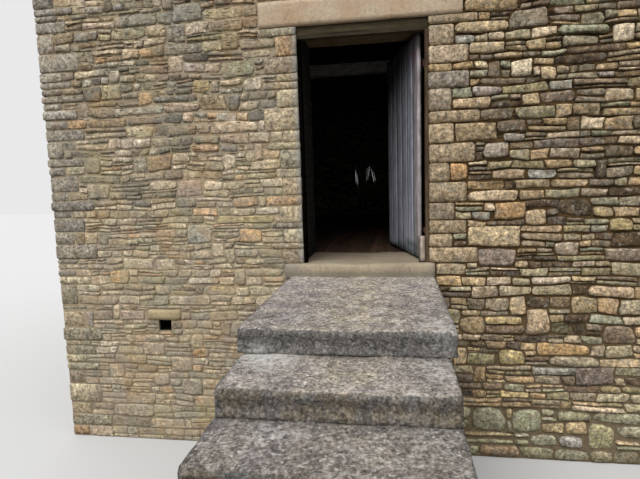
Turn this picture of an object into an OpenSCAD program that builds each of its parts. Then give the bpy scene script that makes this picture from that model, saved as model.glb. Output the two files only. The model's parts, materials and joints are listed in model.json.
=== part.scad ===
// Small rubble-stone barn with a raised doorway and a straight flight of concrete steps.
// The origin is at ground level on the outer face of the front wall, below the middle of
// the doorway. X runs right along the front, Y runs into the barn and Z is up.

/* [Building] */
// Height of the doorway's sill above the ground
sill_z = 1750; // [1600:10:1900]
// Width of the front, over the corners
front_w = 5960; // [5600:20:6400]
// Depth of the building, over the corners
depth = 6700; // [6200:50:7400]
// Thickness of the rubble walls
wall_t = 700; // [600:10:780]
// Height of the eaves above the sill
eaves_h = 2750; // [2700:10:2900]
// Pitch of the roof in degrees
pitch = 35; // [32:1:38]

/* [Doorway] */
// Width of the doorway between its stone jambs
door_w = 1100; // [1000:10:1200]
// Height of the doorway from its sill to the lintel
door_h = 2030; // [1960:10:2080]
// Height of the stone lintel and of the timbers behind it
lintel_h = 210; // [160:5:240]
// Depth of the stone lintel into the wall
lintel_t = 330; // [250:10:400]
// Length of the stone lintel that bears on the left jamb
lintel_bearing_left = 320; // [200:10:400]
// Length of the stone lintel that bears on the right jamb
lintel_bearing_right = 270; // [200:10:400]
// Length of the timber lintels that bears on each jamb
timber_bearing = 240; // [150:10:300]
// Gap between the two timber lintels
timber_gap = 20; // [5:5:40]
// Height of the threshold slab
threshold_h = 118; // [90:2:150]
// How far the threshold stands proud of the wall
threshold_proud = 20; // [10:5:60]
// How far the threshold runs under the left jamb
threshold_left = 170; // [50:10:250]
// How far the threshold runs under the right jamb
threshold_right = 45; // [20:5:200]

/* [Door frame] */
// Width of each door post across the doorway
post_w = 30; // [25:1:45]
// Depth of the door posts and of the head
post_t = 70; // [60:5:80]
// Distance from the wall's outer face to the door frame
post_y = 30; // [20:5:60]
// Height of the frame's head
head_h = 100; // [60:5:120]
// Width of the short block at the foot of the right post
block_w = 55; // [40:5:70]
// Depth of the short block
block_t = 50; // [40:5:55]
// Height of the short block
block_h = 225; // [150:5:300]

/* [Door leaf] */
// How far the leaf stands open, in degrees from closed
door_open = 75; // [60:1:80]
// Thickness of the door's boards
leaf_t = 28; // [22:1:35]
// Gap between the closed leaf and its frame
leaf_gap = 6; // [5:1:12]
// How far the closed leaf laps the left post and the head
leaf_lap = 15; // [8:1:25]
// Gap below the leaf
leaf_foot = 20; // [12:1:35]
// Height of each ledge on the back of the leaf
ledge_h = 115; // [90:5:150]
// Thickness of the ledges
ledge_t = 25; // [20:1:32]
// Distance from the ledges' ends to the leaf's edges
ledge_inset = 60; // [50:5:120]
// Distance from the leaf's ends to the outer ledges
ledge_end = 190; // [120:10:300]
// Length of each strap hinge from its pin
strap_l = 620; // [400:10:800]
// Height of each strap
strap_h = 45; // [35:1:60]
// Thickness of the strap and of its eye
strap_t = 6; // [5:1:7]
// Radius of the hinge pins
pin_r = 8; // [6:0.5:9]
// Distance from the doorway's right jamb to the hinge pins
pin_inset = 22; // [20:1:28]
// Length of each pin's square shank in the jamb
shank_l = 90; // [60:5:150]

/* [Back window and vent] */
// Distance of the back window's middle from the doorway's middle, to the left
window_x = 334; // [200:10:600]
// Width of the back window
window_w = 510; // [400:10:600]
// Height of the back window
window_h = 600; // [500:10:700]
// Height of the back window's sill above the floor
window_sill = 480; // [400:10:700]
// Height of the window's stone lintel
window_lintel_h = 150; // [100:5:200]
// Length of the window's lintel and sill that bears on each jamb
window_bearing = 150; // [100:10:250]
// Height of the window's stone sill
window_sill_h = 80; // [60:5:120]
// Distance from the back wall's outer face to the slats
slats_y = 180; // [100:10:300]
// Thickness of the slats and of their rails
slat_t = 18; // [12:1:25]
// Height of the two rails that hold the slats
slat_rail_h = 60; // [40:5:80]
// Width of the vent hole
vent_w = 130; // [100:5:160]
// Height of the vent hole
vent_h = 110; // [80:5:140]
// Height of the vent hole above the ground
vent_z = 1100; // [900:10:1200]
// Distance of the vent's middle from the doorway's middle, to the left
vent_x = 1915; // [1500:10:2200]
// Length of the flat stone over the vent
vent_stone_l = 336; // [260:5:400]
// Height of the flat stone over the vent
vent_stone_h = 104; // [80:2:130]
// Depth of the flat stone over the vent
vent_stone_t = 250; // [150:10:350]

/* [Steps] */
// Depth of the landing from the wall to its nose
landing_d = 1536; // [1200:10:1700]
// Width of the landing
landing_w = 1270; // [1200:10:1400]
// Going of the first step below the landing
first_going = 484; // [400:5:520]
// Going of every other step
going = 430; // [350:5:480]
// Width of the steps
step_w = 1195; // [1000:5:1250]
// How far the middle of the flight lies left of the doorway's middle
flight_x = 38; // [0:2:80]
// How far each step runs under the one above it
step_bed = 60; // [30:5:120]
// How far the steps stand over each side of the stone core
step_over = 20; // [5:5:50]

/* [Floor] */
// Thickness of the floor boards
board_t = 30; // [22:1:40]
// Width of each joist
joist_w = 120; // [80:5:150]
// Depth of each joist
joist_h = 200; // [150:5:240]
// Number of joists
joist_n = 7; // [5:1:9]
// Length of each joist that bears in a side wall
joist_bearing = 200; // [120:10:300]

/* [Roof timbers] */
// Height of the tie beam's top below the eaves
tie_drop = 285; // [270:5:300]
// Height of the tie beam
tie_h = 155; // [130:5:165]
// Thickness of the tie beam and of the principal rafters
truss_t = 150; // [110:5:180]
// Distance from the side walls' outer faces to the tie beam's ends
tie_cover = 220; // [150:10:280]
// Depth of the principal rafters, square to the slope
principal_h = 180; // [150:5:200]
// Depth of the purlins, measured upright
purlin_h = 160; // [130:5:180]
// Width of the purlins
purlin_w = 150; // [110:5:180]
// Distance of each purlin's middle from the ridge, measured level
purlin_x = 1500; // [1200:20:1800]
// Width of the ridge beam
ridge_w = 80; // [60:5:120]
// Length of the purlins and the ridge beam that bears in each gable
purlin_bearing = 300; // [200:10:450]
// Depth of the common rafters, square to the slope
rafter_h = 100; // [80:5:110]
// Width of the common rafters
rafter_w = 75; // [50:5:100]
// Number of rafters on each slope
rafter_n = 9; // [7:1:11]
// Distance from the gables' inner faces to the first and last rafters
rafter_end = 120; // [60:10:200]

/* [Roof covering] */
// Thickness of the roof boards, square to the slope
deck_t = 22; // [18:1:30]
// Thickness of the lapped slates, square to the slope
slate_t = 28; // [20:1:36]
// How far the roof stands over the side walls, measured level
eaves_over = 150; // [100:10:200]
// How far the slates stand past the boards at the eaves, measured level
slate_drip = 40; // [20:5:60]
// How far the roof stands over the gables
verge_over = 70; // [40:10:120]
// Width of each wing of the ridge tiles, measured level
ridge_wing = 150; // [120:5:190]
// Thickness of the ridge tiles, square to the slope
ridge_t = 16; // [12:1:22]

/* [Hidden] */
$fn = 48;

half_w = front_w / 2;
half_door = door_w / 2;
eaves_z = sill_z + eaves_h;
head_z = sill_z + door_h;
rise = tan(pitch);
slant = 1 / cos(pitch);
inner_x = half_w - wall_t;
back_y = depth - wall_t;
truss_y = (depth - truss_t) / 2;
// How far a cut reaches past a surface, so that it is clean
cut_over = 1;
window_mid = -window_x;
vent_mid = -vent_x;

// A hair of room between sloping layers, so that none is driven into the next by rounding
layer_gap = 0.05;

// Upright depths of the sloping layers below the rafters' tops
rafter_v = rafter_h * slant;
purlin_top_v = rafter_v + layer_gap;
purlin_v = purlin_top_v + purlin_h;
principal_top_v = purlin_v + layer_gap;
principal_v = principal_top_v + principal_h * slant;

// Upright heights of the sloping layers above the rafters' tops
deck_low = layer_gap;
deck_high = deck_low + deck_t * slant;
slate_low = deck_high + layer_gap;
slate_high = slate_low + slate_t * slant;
tile_low = slate_high + layer_gap;
tile_high = tile_low + ridge_t * slant;

// Steps: one riser for each step, and one more up to the landing
steps = 10;
landing_z = sill_z - threshold_h;
riser = landing_z / (steps + 1);
// The levels are whole millimetres
function step_top(k) = round(landing_z - riser * k);
function nose_y(k) = -(landing_d + (k > 0 ? first_going + going * (k - 1) : 0));

// The hinge pins' line, and the leaf as it lies when closed
pin_x = half_door - pin_inset;
leaf_y = post_y + post_t + leaf_gap;
ledge_y = leaf_y + leaf_t;
strap_y = ledge_y + ledge_t;
pin_y = strap_y + strap_t;
pin_clear = 0.05;
leaf_edge_gap = 6;
leaf_right = pin_x - leaf_edge_gap;
leaf_left = -(half_door - post_w) - leaf_lap;
leaf_top = head_z - head_h + leaf_lap;
leaf_bottom = sill_z + leaf_foot;
eye_r = pin_r + strap_t;
eye_gap = 1;
shank_h = 24;
ledge_zs = [leaf_bottom + ledge_end,
    (leaf_bottom + leaf_top) / 2 - ledge_h / 2,
    leaf_top - ledge_end - ledge_h];

stone_colour = "#8c7c62";
lintel_colour = "#c2a981";
concrete_colour = "#7d7973";
door_colour = "#77717a";
timber_colour = "#4a4038";
board_colour = "#5f4a3a";
slate_colour = "#555b60";
iron_colour = "#4b4038";

// Height of the roof boards' underside at a distance x from the ridge
function deck_z(x) = eaves_z + (half_w - abs(x)) * rise;

// A shape drawn in X and Z, run along Y from y0 to y1
module along_y(y0, y1) {
    translate([0, y1, 0]) rotate([90, 0, 0]) linear_extrude(y1 - y0) children();
}

// A shape drawn in Y and Z, run along X from x0 to x1
module along_x(x0, x1) {
    translate([x0, 0, 0]) rotate([90, 0, 90]) linear_extrude(x1 - x0) children();
}

// A box between two opposite corners
module block(low, high) {
    translate(low) cube(high - low);
}

// Part of a sloping layer: from x0 to x1 on one side, and from low to high above the deck line
module slope_band(side, x0, x1, low, high) {
    polygon([[side * x0, deck_z(x0) + low], [side * x1, deck_z(x1) + low],
        [side * x1, deck_z(x1) + high], [side * x0, deck_z(x0) + high]]);
}

// Stone walls

module vent_hole() {
    block([vent_mid - vent_w / 2, -cut_over, vent_z],
        [vent_mid + vent_w / 2, wall_t + cut_over, vent_z + vent_h]);
}

module front_wall_left() {
    color(stone_colour) difference() {
        block([-half_w, 0, 0], [-half_door, wall_t, eaves_z]);
        stone_lintel();
        timber_lintels();
        threshold();
        vent_hole();
        vent_lintel();
    }
}

module front_wall_right() {
    color(stone_colour) difference() {
        block([half_door, 0, 0], [half_w, wall_t, eaves_z]);
        stone_lintel();
        timber_lintels();
        threshold();
        pintle_shanks();
    }
}

module front_wall_under_door() {
    color(stone_colour) block([-half_door, 0, 0], [half_door, wall_t, landing_z]);
}

module front_wall_over_door() {
    color(stone_colour) block([-half_door, 0, head_z + lintel_h], [half_door, wall_t, eaves_z]);
}

module gable(y0) {
    color(stone_colour) difference() {
        along_y(y0, y0 + wall_t)
            polygon([[-half_w, eaves_z], [half_w, eaves_z], [0, deck_z(0)]]);
        purlins();
        ridge_beam(cut_over);
    }
}

module back_wall() {
    color(stone_colour) difference() {
        block([-half_w, back_y, 0], [half_w, depth, eaves_z]);
        window_hole();
        back_window_lintel();
        back_window_sill();
    }
}

module side_wall(side) {
    color(stone_colour) difference() {
        along_y(wall_t, back_y)
            polygon([[side * inner_x, 0], [side * half_w, 0],
                [side * half_w, deck_z(half_w)], [side * inner_x, deck_z(inner_x)]]);
        rafters(cut_over);
        tie_beam();
        principal_rafter(side);
        floor_joists();
    }
}

// Dressed stones

module stone_lintel() {
    color(lintel_colour)
        block([-half_door - lintel_bearing_left, 0, head_z],
            [half_door + lintel_bearing_right, lintel_t, head_z + lintel_h]);
}

module threshold() {
    color(lintel_colour)
        block([-half_door - threshold_left, -threshold_proud, landing_z],
            [half_door + threshold_right, wall_t, sill_z]);
}

module vent_lintel() {
    color(lintel_colour)
        block([vent_mid - vent_stone_l / 2, 0, vent_z + vent_h],
            [vent_mid + vent_stone_l / 2, vent_stone_t, vent_z + vent_h + vent_stone_h]);
}

module back_window_lintel() {
    color(lintel_colour)
        block([window_mid - window_w / 2 - window_bearing, back_y, window_top],
            [window_mid + window_w / 2 + window_bearing, depth, window_top + window_lintel_h]);
}

module back_window_sill() {
    color(lintel_colour)
        block([window_mid - window_w / 2 - window_bearing, back_y, window_low - window_sill_h],
            [window_mid + window_w / 2 + window_bearing, depth, window_low]);
}

window_low = sill_z + window_sill;
window_top = window_low + window_h;

module window_hole() {
    block([window_mid - window_w / 2, back_y - cut_over, window_low],
        [window_mid + window_w / 2, depth + cut_over, window_top]);
}

// Upright slats of uneven width, nailed to a rail at the top and one at the foot.
// Gaps and slats by turns, from the window's left edge, in hundredths of its width
slat_shares = [10.5, 37.5, 12, 18.5, 10.5, 11];
function slat_start(i) = i < 0 ? 0 : slat_start(i - 1) + slat_shares[i] * window_w / 100;

module back_window_slats() {
    rail_y = depth - slats_y;
    left = window_mid - window_w / 2;
    color(timber_colour) {
        for (z = [window_low, window_top - slat_rail_h])
            block([left, rail_y - slat_t, z], [left + window_w, rail_y, z + slat_rail_h]);
        for (i = [0, 2, 4])
            block([left + slat_start(i), rail_y, window_low],
                [left + slat_start(i + 1), rail_y + slat_t, window_top]);
    }
}

// Door frame

module timber_lintels() {
    timber_t = (wall_t - lintel_t - timber_gap) / 2;
    color(timber_colour)
        for (y = [lintel_t, wall_t - timber_t])
            block([-half_door - timber_bearing, y, head_z],
                [half_door + timber_bearing, y + timber_t, head_z + lintel_h]);
}

module door_post(side) {
    color(timber_colour)
        translate([side > 0 ? half_door - post_w : -half_door, post_y, sill_z])
            cube([post_w, post_t, door_h - head_h]);
}

module door_head() {
    color(timber_colour)
        block([-half_door, post_y, head_z - head_h], [half_door, post_y + post_t, head_z]);
}

module post_foot_block() {
    right = half_door - post_w;
    front = post_y + (post_t - block_t) / 2;
    color(door_colour)
        block([right - block_w, front, sill_z], [right, front + block_t, sill_z + block_h]);
}

// Pins in the right jamb: an eye sits on each shank, on the strap's middle line

function strap_z(i) = ledge_zs[i] + ledge_h / 2;

module pintle_shanks() {
    for (i = [0, 2])
        block([pin_x, pin_y - pin_r, strap_z(i) - strap_h / 2 - eye_gap - shank_h],
            [half_door + shank_l, pin_y + pin_r, strap_z(i) - strap_h / 2 - eye_gap]);
}

module hinge_pintles() {
    color(iron_colour) {
        pintle_shanks();
        for (i = [0, 2])
            translate([pin_x, pin_y, strap_z(i) - strap_h / 2 - eye_gap - shank_h])
                cylinder(r = pin_r, h = shank_h + strap_h + 2 * eye_gap);
    }
}

// Door leaf, drawn closed and turned open about the pins

module turned_open() {
    translate([pin_x, pin_y, 0]) rotate([0, 0, -door_open]) translate([-pin_x, -pin_y, 0]) children();
}

module door_boards() {
    color(door_colour) turned_open()
        block([leaf_left, leaf_y, leaf_bottom], [leaf_right, ledge_y, leaf_top]);
}

module door_ledges() {
    color(timber_colour) turned_open()
        for (z = ledge_zs)
            block([leaf_left + ledge_inset, ledge_y, z], [leaf_right - ledge_inset, strap_y, z + ledge_h]);
}

module strap_hinges() {
    color(iron_colour) turned_open()
        for (i = [0, 2])
            translate([pin_x, pin_y, strap_z(i) - strap_h / 2])
                difference() {
                    union() {
                        cylinder(r = eye_r, h = strap_h);
                        translate([-strap_l, -strap_t, 0]) cube([strap_l, strap_t, strap_h]);
                    }
                    translate([0, 0, -cut_over]) cylinder(r = pin_r + pin_clear, h = strap_h + 2 * cut_over);
                }
}

// Upper floor

module floor_boards() {
    color(board_colour) block([-inner_x, wall_t, sill_z - board_t], [inner_x, back_y, sill_z]);
}

module floor_joists() {
    room = back_y - wall_t;
    joist_pitch = room / joist_n;
    joist_end = inner_x + joist_bearing;
    color(timber_colour)
        for (i = [0 : joist_n - 1])
            translate([-joist_end, wall_t + joist_pitch * (i + 0.5) - joist_w / 2, sill_z - board_t - joist_h])
                cube([2 * joist_end, joist_w, joist_h]);
}

// Roof timbers

tie_top = eaves_z - tie_drop;
tie_end = half_w - tie_cover;

module tie_beam() {
    color(timber_colour) block([-tie_end, truss_y, tie_top - tie_h], [tie_end, truss_y + truss_t, tie_top]);
}

// A principal rafter: its foot is cut level where it sits on the tie beam
module principal_rafter(side) {
    toe_x = half_w - (tie_top - eaves_z + principal_v) / rise;
    heel_x = min(tie_end, half_w - (tie_top - eaves_z + principal_top_v) / rise);
    color(timber_colour) along_y(truss_y, truss_y + truss_t)
        polygon([[0, deck_z(0) - principal_top_v], [side * heel_x, deck_z(heel_x) - principal_top_v],
            [side * heel_x, tie_top], [side * toe_x, tie_top], [0, deck_z(0) - principal_v]]);
}

module purlins() {
    color(timber_colour)
        for (side = [-1, 1])
            along_y(wall_t - purlin_bearing, back_y + purlin_bearing)
                slope_band(side, purlin_x - purlin_w / 2, purlin_x + purlin_w / 2, -purlin_v, -purlin_top_v);
}

// The ridge beam is cut to the two slopes above, and over the principal rafters below.
// A cut for it in a gable reaches above the slopes by the given amount.
module ridge_beam(above = 0) {
    x = ridge_w / 2;
    color(timber_colour) along_y(wall_t - purlin_bearing, back_y + purlin_bearing)
        polygon([[-x, deck_z(x) + above], [0, deck_z(0) + above], [x, deck_z(x) + above],
            [x, deck_z(x) - purlin_v], [0, deck_z(0) - purlin_v], [-x, deck_z(x) - purlin_v]]);
}

// A cut for the rafters in a side wall reaches above the slopes by the given amount
module rafters(above = 0) {
    first = wall_t + rafter_end;
    spacing = (back_y - rafter_end - rafter_w - first) / (rafter_n - 1);
    color(timber_colour)
        for (side = [-1, 1], i = [0 : rafter_n - 1])
            along_y(first + spacing * i, first + spacing * i + rafter_w)
                slope_band(side, ridge_w / 2, half_w + eaves_over, -rafter_v, above);
}

// Roof covering

module roof_boards(side) {
    color(board_colour) along_y(-verge_over, depth + verge_over)
        slope_band(side, 0, half_w + eaves_over, deck_low, deck_high);
}

module slates(side) {
    color(slate_colour) along_y(-verge_over, depth + verge_over)
        slope_band(side, 0, half_w + eaves_over + slate_drip, slate_low, slate_high);
}

module ridge_tiles() {
    x = ridge_wing;
    color(slate_colour) along_y(-verge_over, depth + verge_over)
        polygon([[-x, deck_z(x) + tile_low], [0, deck_z(0) + tile_low], [x, deck_z(x) + tile_low],
            [x, deck_z(x) + tile_high], [0, deck_z(0) + tile_high], [-x, deck_z(x) + tile_high]]);
}

// Steps

module landing() {
    color(concrete_colour)
        block([-flight_x - landing_w / 2, nose_y(0), step_top(1)],
            [-flight_x + landing_w / 2, 0, landing_z]);
}

// A step runs back under the one above it
module step(k) {
    color(concrete_colour)
        block([-flight_x - step_w / 2, nose_y(k), max(0, step_top(k + 1))],
            [-flight_x + step_w / 2, nose_y(k - 1) + step_bed, step_top(k)]);
}

// The rubble core carries the landing and each step behind the one below
module stair_core() {
    half_core = step_w / 2 - step_over;
    color(stone_colour) along_x(-flight_x - half_core, -flight_x + half_core)
        polygon(concat([[0, 0], [0, step_top(1)]],
            [for (k = [0 : steps - 1], z = [step_top(k + 1), step_top(k + 2)])
                [nose_y(k) + step_bed, max(0, z)]]));
}

front_wall_left();
front_wall_right();
front_wall_under_door();
front_wall_over_door();
gable(0);  // front_gable
back_wall();
gable(back_y);  // back_gable
side_wall(-1);  // left_wall
side_wall(1);  // right_wall
stone_lintel();
timber_lintels();
threshold();
vent_lintel();
back_window_lintel();
back_window_sill();
back_window_slats();
door_post(-1);  // door_post_left
door_post(1);  // door_post_right
door_head();
post_foot_block();
hinge_pintles();
door_boards();
door_ledges();
strap_hinges();
floor_boards();
floor_joists();
tie_beam();
principal_rafter(-1);  // principal_rafter_left
principal_rafter(1);  // principal_rafter_right
purlins();
ridge_beam();
rafters();
roof_boards(-1);  // roof_boards_left
roof_boards(1);  // roof_boards_right
slates(-1);  // slates_left
slates(1);  // slates_right
ridge_tiles();
landing();
step(1);  // step_01
step(2);  // step_02
step(3);  // step_03
step(4);  // step_04
step(5);  // step_05
step(6);  // step_06
step(7);  // step_07
step(8);  // step_08
step(9);  // step_09
step(10);  // step_10
stair_core();
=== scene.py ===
"""Dresses the rubble-stone barn: masonry, worn concrete steps, door, floor, slates, stage and camera."""
import json
import math
import random
from functools import partial, reduce

import bmesh
import bpy
import numpy as np
from bpy.props import FloatProperty, FloatVectorProperty, IntProperty, PointerProperty
from mathutils import Matrix, Vector, noise


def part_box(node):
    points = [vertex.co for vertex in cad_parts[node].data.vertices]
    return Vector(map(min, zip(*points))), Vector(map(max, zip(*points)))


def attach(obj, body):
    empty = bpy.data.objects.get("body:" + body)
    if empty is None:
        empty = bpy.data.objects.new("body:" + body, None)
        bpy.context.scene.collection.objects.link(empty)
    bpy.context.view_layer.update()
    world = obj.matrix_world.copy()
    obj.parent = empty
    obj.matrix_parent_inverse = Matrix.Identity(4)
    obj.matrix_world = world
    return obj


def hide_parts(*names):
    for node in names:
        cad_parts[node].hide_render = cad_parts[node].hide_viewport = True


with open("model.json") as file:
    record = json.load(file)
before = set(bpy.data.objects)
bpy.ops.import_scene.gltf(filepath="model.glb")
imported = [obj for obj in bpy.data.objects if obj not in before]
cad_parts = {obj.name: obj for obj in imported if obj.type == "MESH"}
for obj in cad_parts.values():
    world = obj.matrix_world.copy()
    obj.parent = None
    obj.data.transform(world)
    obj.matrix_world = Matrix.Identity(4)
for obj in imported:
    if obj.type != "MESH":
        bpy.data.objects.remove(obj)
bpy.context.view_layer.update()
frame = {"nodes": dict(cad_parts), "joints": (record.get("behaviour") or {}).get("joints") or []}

bl_info = {
    "name": "Rubble Stone Barn",
    "version": (1, 0, 0),
    "blender": (4, 5, 0),
    "location": "3D View > Sidebar > Barn",
    "description": "Masonry, steps, door, floor and slates for a small rubble-stone barn",
    "category": "Add Mesh",
}

MM = 0.001

# Main lengths, read from the frame
_wall_low, _wall_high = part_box("front_wall_left")
_back_low, _back_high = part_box("back_wall")
_sill_low, _sill_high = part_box("threshold")
HALF_W = -_wall_low.x
HALF_DOOR = -_wall_high.x
WALL_T = _wall_high.y
EAVES_Z = _wall_high.z
APEX_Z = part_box("front_gable")[1].z
RISE = (APEX_Z - EAVES_Z) / HALF_W
PITCH = math.atan(RISE)
DEPTH = _back_high.y
BACK_Y = _back_low.y
INNER_X = HALF_W - WALL_T
SILL_Z = _sill_high.z
LANDING_Z = _sill_low.z
HEAD_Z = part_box("stone_lintel")[0].z
LINTEL_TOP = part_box("stone_lintel")[1].z
BODY = "building"
LEAF = "door_leaf"
STEPS = ["landing"] + [f"step_{k:02d}" for k in range(1, 11)]


def colour_of(code):
    """Linear RGB of an sRGB hex code."""
    parts = [int(code[i:i + 2], 16) / 255 for i in (1, 3, 5)]
    return tuple(c / 12.92 if c <= 0.04045 else ((c + 0.055) / 1.055) ** 2.4 for c in parts)


def rgba(colour):
    """A colour for a node, from a hex code or from a setting."""
    return (*(colour_of(colour) if isinstance(colour, str) else colour), 1.0)


def per(mm):
    """Scale of a texture whose features are that many millimetres apart."""
    return 1000.0 / mm


# Settings

def colour_setting(name, description, code):
    return FloatVectorProperty(name=name, description=description, default=colour_of(code),
                               subtype="COLOR", size=3, min=0.0, max=1.0)


def length_setting(name, description, mm):
    return FloatProperty(name=name, description=description, default=mm * MM, unit="LENGTH",
                         min=0.0, precision=4)


class BarnMasonrySettings(bpy.types.PropertyGroup):
    course_low: length_setting("Lowest course", "Height of the thinnest course", 52)
    course_high: length_setting("Highest course", "Height of the thickest course", 100)
    foot_course: length_setting("Foot courses", "Height of the courses of the wall's foot", 118)
    foot_top: length_setting("Foot height", "Height up to which the foot courses run", 470)
    joint_left: length_setting("Left joint", "Width of the flush joints left of the door", 3.5)
    joint_right: length_setting("Right joint", "Width of the open joints right of the door", 3.5)
    proud_left: length_setting("Left relief", "Depth of joints left of the door, under the eaves", 16)
    proud_right: length_setting("Right relief", "Depth of joints right of the door, under the eaves", 27)
    foot_left: length_setting("Left foot relief", "Depth of joints left of the door, at the ground", 5)
    foot_right: length_setting("Right foot relief", "Depth of joints right of the door, at the ground", 15)
    mortar_left: colour_setting("Flush mortar", "Lime mortar left of the door", "#a5977e")
    mortar_right: colour_setting("Open joints", "Earth mortar right of the door", "#56432a")
    mortar_other: colour_setting("Side mortar", "Mortar of the sides and the back", "#7a6c56")
    seed: IntProperty(name="Seed", description="Start of the random draws", default=11, min=0)


class BarnStepSettings(bpy.types.PropertyGroup):
    cell: length_setting("Grid", "Spacing of the points on the steps", 28)
    nose_wear: length_setting("Nose wear", "Rounding of the steps' noses", 24)
    concrete: colour_setting("Concrete", "Weathered concrete", "#8d867e")
    lichen: colour_setting("Lichen", "Pale lichen on the concrete", "#c2c0bb")
    moss: colour_setting("Moss", "Dark moss on the risers", "#575553")


class BarnWoodSettings(bpy.types.PropertyGroup):
    door_boards: IntProperty(name="Door boards", description="Number of boards in the door", default=6, min=2)
    floor_boards: IntProperty(name="Floor boards", description="Number of floor boards", default=28, min=4)
    door: colour_setting("Door", "Weathered door boards", "#74747e")
    timber: colour_setting("Timber", "Old dark roof timber", "#3a3129")
    floor: colour_setting("Floor", "Worn floor boards", "#33271f")


class BarnRoofSettings(bpy.types.PropertyGroup):
    gauge: length_setting("Gauge", "Length of each slate that shows", 205)
    slate_length: length_setting("Slate length", "Whole length of each slate", 450)
    slate_width: length_setting("Slate width", "Usual width of a slate", 255)
    slate_t: length_setting("Slate thickness", "Thickness of each slate", 7)
    ridge_tiles: IntProperty(name="Ridge tiles", description="Number of ridge tiles", default=15, min=1)
    slate: colour_setting("Slate", "Weathered slate", "#575c60")
    ridge: colour_setting("Ridge", "Ridge tiles", "#625c57")


class BarnStageSettings(bpy.types.PropertyGroup):
    floor: colour_setting("Ground", "Plain pale floor", "#c2c2c2")
    sky: FloatProperty(name="Sky", description="Strength of the soft light overhead", default=1.1, min=0.0)
    sun: FloatProperty(name="Sun", description="Strength of the soft main lamp", default=2.25, min=0.0)
    lens: length_setting("Lens", "Focal length of the camera", 27)


# Materials

# The nodes that materials are made of, each under a plain name: its kind, its settings, the inputs that its
# values go to in turn, and the output that it gives, or None for all of them
NODES = {
    "place": ("TexCoord", {}, (), "Object"),
    "way": ("TexCoord", {}, (), "Generated"),
    "stored": ("Attribute", {}, (), None),
    "axes": ("SeparateXYZ", {}, (0,), None),
    "point": ("CombineXYZ", {}, (0, 1, 2), 0),
    "channels": ("SeparateColor", {}, (0,), None),
    "grey": ("CombineColor", {}, (0, 1, 2), 0),
    "noise": ("TexNoise", {}, ("Vector", "Scale", "Detail", "Roughness", "Distortion"), 0),
    "cells": ("TexVoronoi", {}, ("Vector", "Scale"), None),
    "cell_edge": ("TexVoronoi", {"feature": "DISTANCE_TO_EDGE"}, ("Vector", "Scale"), "Distance"),
    "mapping": ("Mapping", {}, ("Vector", "Scale", "Rotation"), 0),
    "mix": ("Mix", {"data_type": "RGBA"}, (0, 6, 7), 2),
    "tint": ("Mix", {"data_type": "RGBA", "blend_type": "MULTIPLY"}, (0, 6, 7), 2),
    "between": ("Mix", {}, (0, 2, 3), 0),
    "range": ("MapRange", {"clamp": True}, (0, 1, 2, 3, 4), 0),
    "plus": ("Math", {"operation": "ADD"}, (0, 1), 0),
    "minus": ("Math", {"operation": "SUBTRACT"}, (0, 1), 0),
    "times": ("Math", {"operation": "MULTIPLY"}, (0, 1), 0),
    "above": ("Math", {"operation": "GREATER_THAN"}, (0, 1), 0),
    "below": ("Math", {"operation": "LESS_THAN"}, (0, 1), 0),
    "most": ("Math", {"operation": "MAXIMUM"}, (0, 1), 0),
    "size": ("Math", {"operation": "ABSOLUTE"}, (0,), 0),
    "bump": ("Bump", {}, ("Height", "Distance", "Normal"), 0),
    "light_path": ("LightPath", {}, (), None),
}
# Painted shade on the cheeks of openings, and how much of them it covers
CHEEK_SHADE = "#0d0b09"
CHEEK_SHADE_COVER = 0.985
# How bright a step's tread is where its mark is 1
BRIGHTEST = 1.5


def add(tree, name, *values, **settings):
    """Adds one of the nodes above, with its settings, values and links, and gives its output."""
    kind, usual, inputs, output = NODES[name]
    made = tree.nodes.new("ShaderNode" + kind)
    for key, value in {**usual, **settings}.items():
        setattr(made, key, value)
    for key, value in zip(inputs, values):
        if isinstance(value, bpy.types.NodeSocket):
            tree.links.new(value, made.inputs[key])
        else:
            made.inputs[key].default_value = value
    return made.outputs if output is None else made.outputs[output]


def new_material(name, rough=0.9, specular=0.25):
    """A material with only its shader, what adds nodes to it, and where its surface lies."""
    made = bpy.data.materials.new(name)
    made.use_nodes = True
    shader = made.node_tree.nodes["Principled BSDF"]
    shader.inputs["Roughness"].default_value = rough
    shader.inputs["Specular IOR Level"].default_value = specular
    put = partial(add, made.node_tree)
    return made, put, put("place")


def finished(made, put, colour, *layers):
    """Gives the shader its colour, and bumps the surface by pairs of a height pattern and its depth in mm."""
    tree = made.node_tree
    shader = tree.nodes["Principled BSDF"]
    tree.links.new(colour, shader.inputs["Base Color"])
    below = ()
    for height, depth in layers:
        below = (put("bump", height, depth * MM, *below),)
    for normal in below:
        tree.links.new(normal, shader.inputs["Normal"])
    return made


def shaded(put, colour, *patterns):
    """A colour made dimmer and brighter by patterns, each with its values where it is dimmest and brightest,
    and what it multiplies by there."""
    for pattern, low, high, dim, bright in patterns:
        level = put("range", pattern, low, high, dim, bright)
        colour = put("tint", 1.0, colour, put("grey", level, level, level))
    return colour


def patched(put, where, colour, *patches):
    """A colour with soft patches of others. Each has its size in millimetres, detail, roughness and warp, the
    noise where it starts and where it is full, how much it covers, and its tone."""
    for size, detail, rough, warp, low, high, cover, tone in patches:
        at = put("range", put("noise", where, per(size), detail, rough, warp), low, high, 0.0, cover)
        colour = put("mix", at, colour, rgba(tone))
    return colour


def stained(put, where, colour, cover):
    """Broad stains that run over stones and joints alike: rusty, yellow, pinkish and grey."""
    rows = ((420, "#ad8c66", 0.49), (560, "#a89f7c", 0.51), (330, "#93897e", 0.51), (480, "#807f75", 0.51))
    return patched(put, where, colour,
                   *((size, 5, 0.62, 0.5, start, start + 0.14, cover, tone) for size, tone, start in rows))


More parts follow.
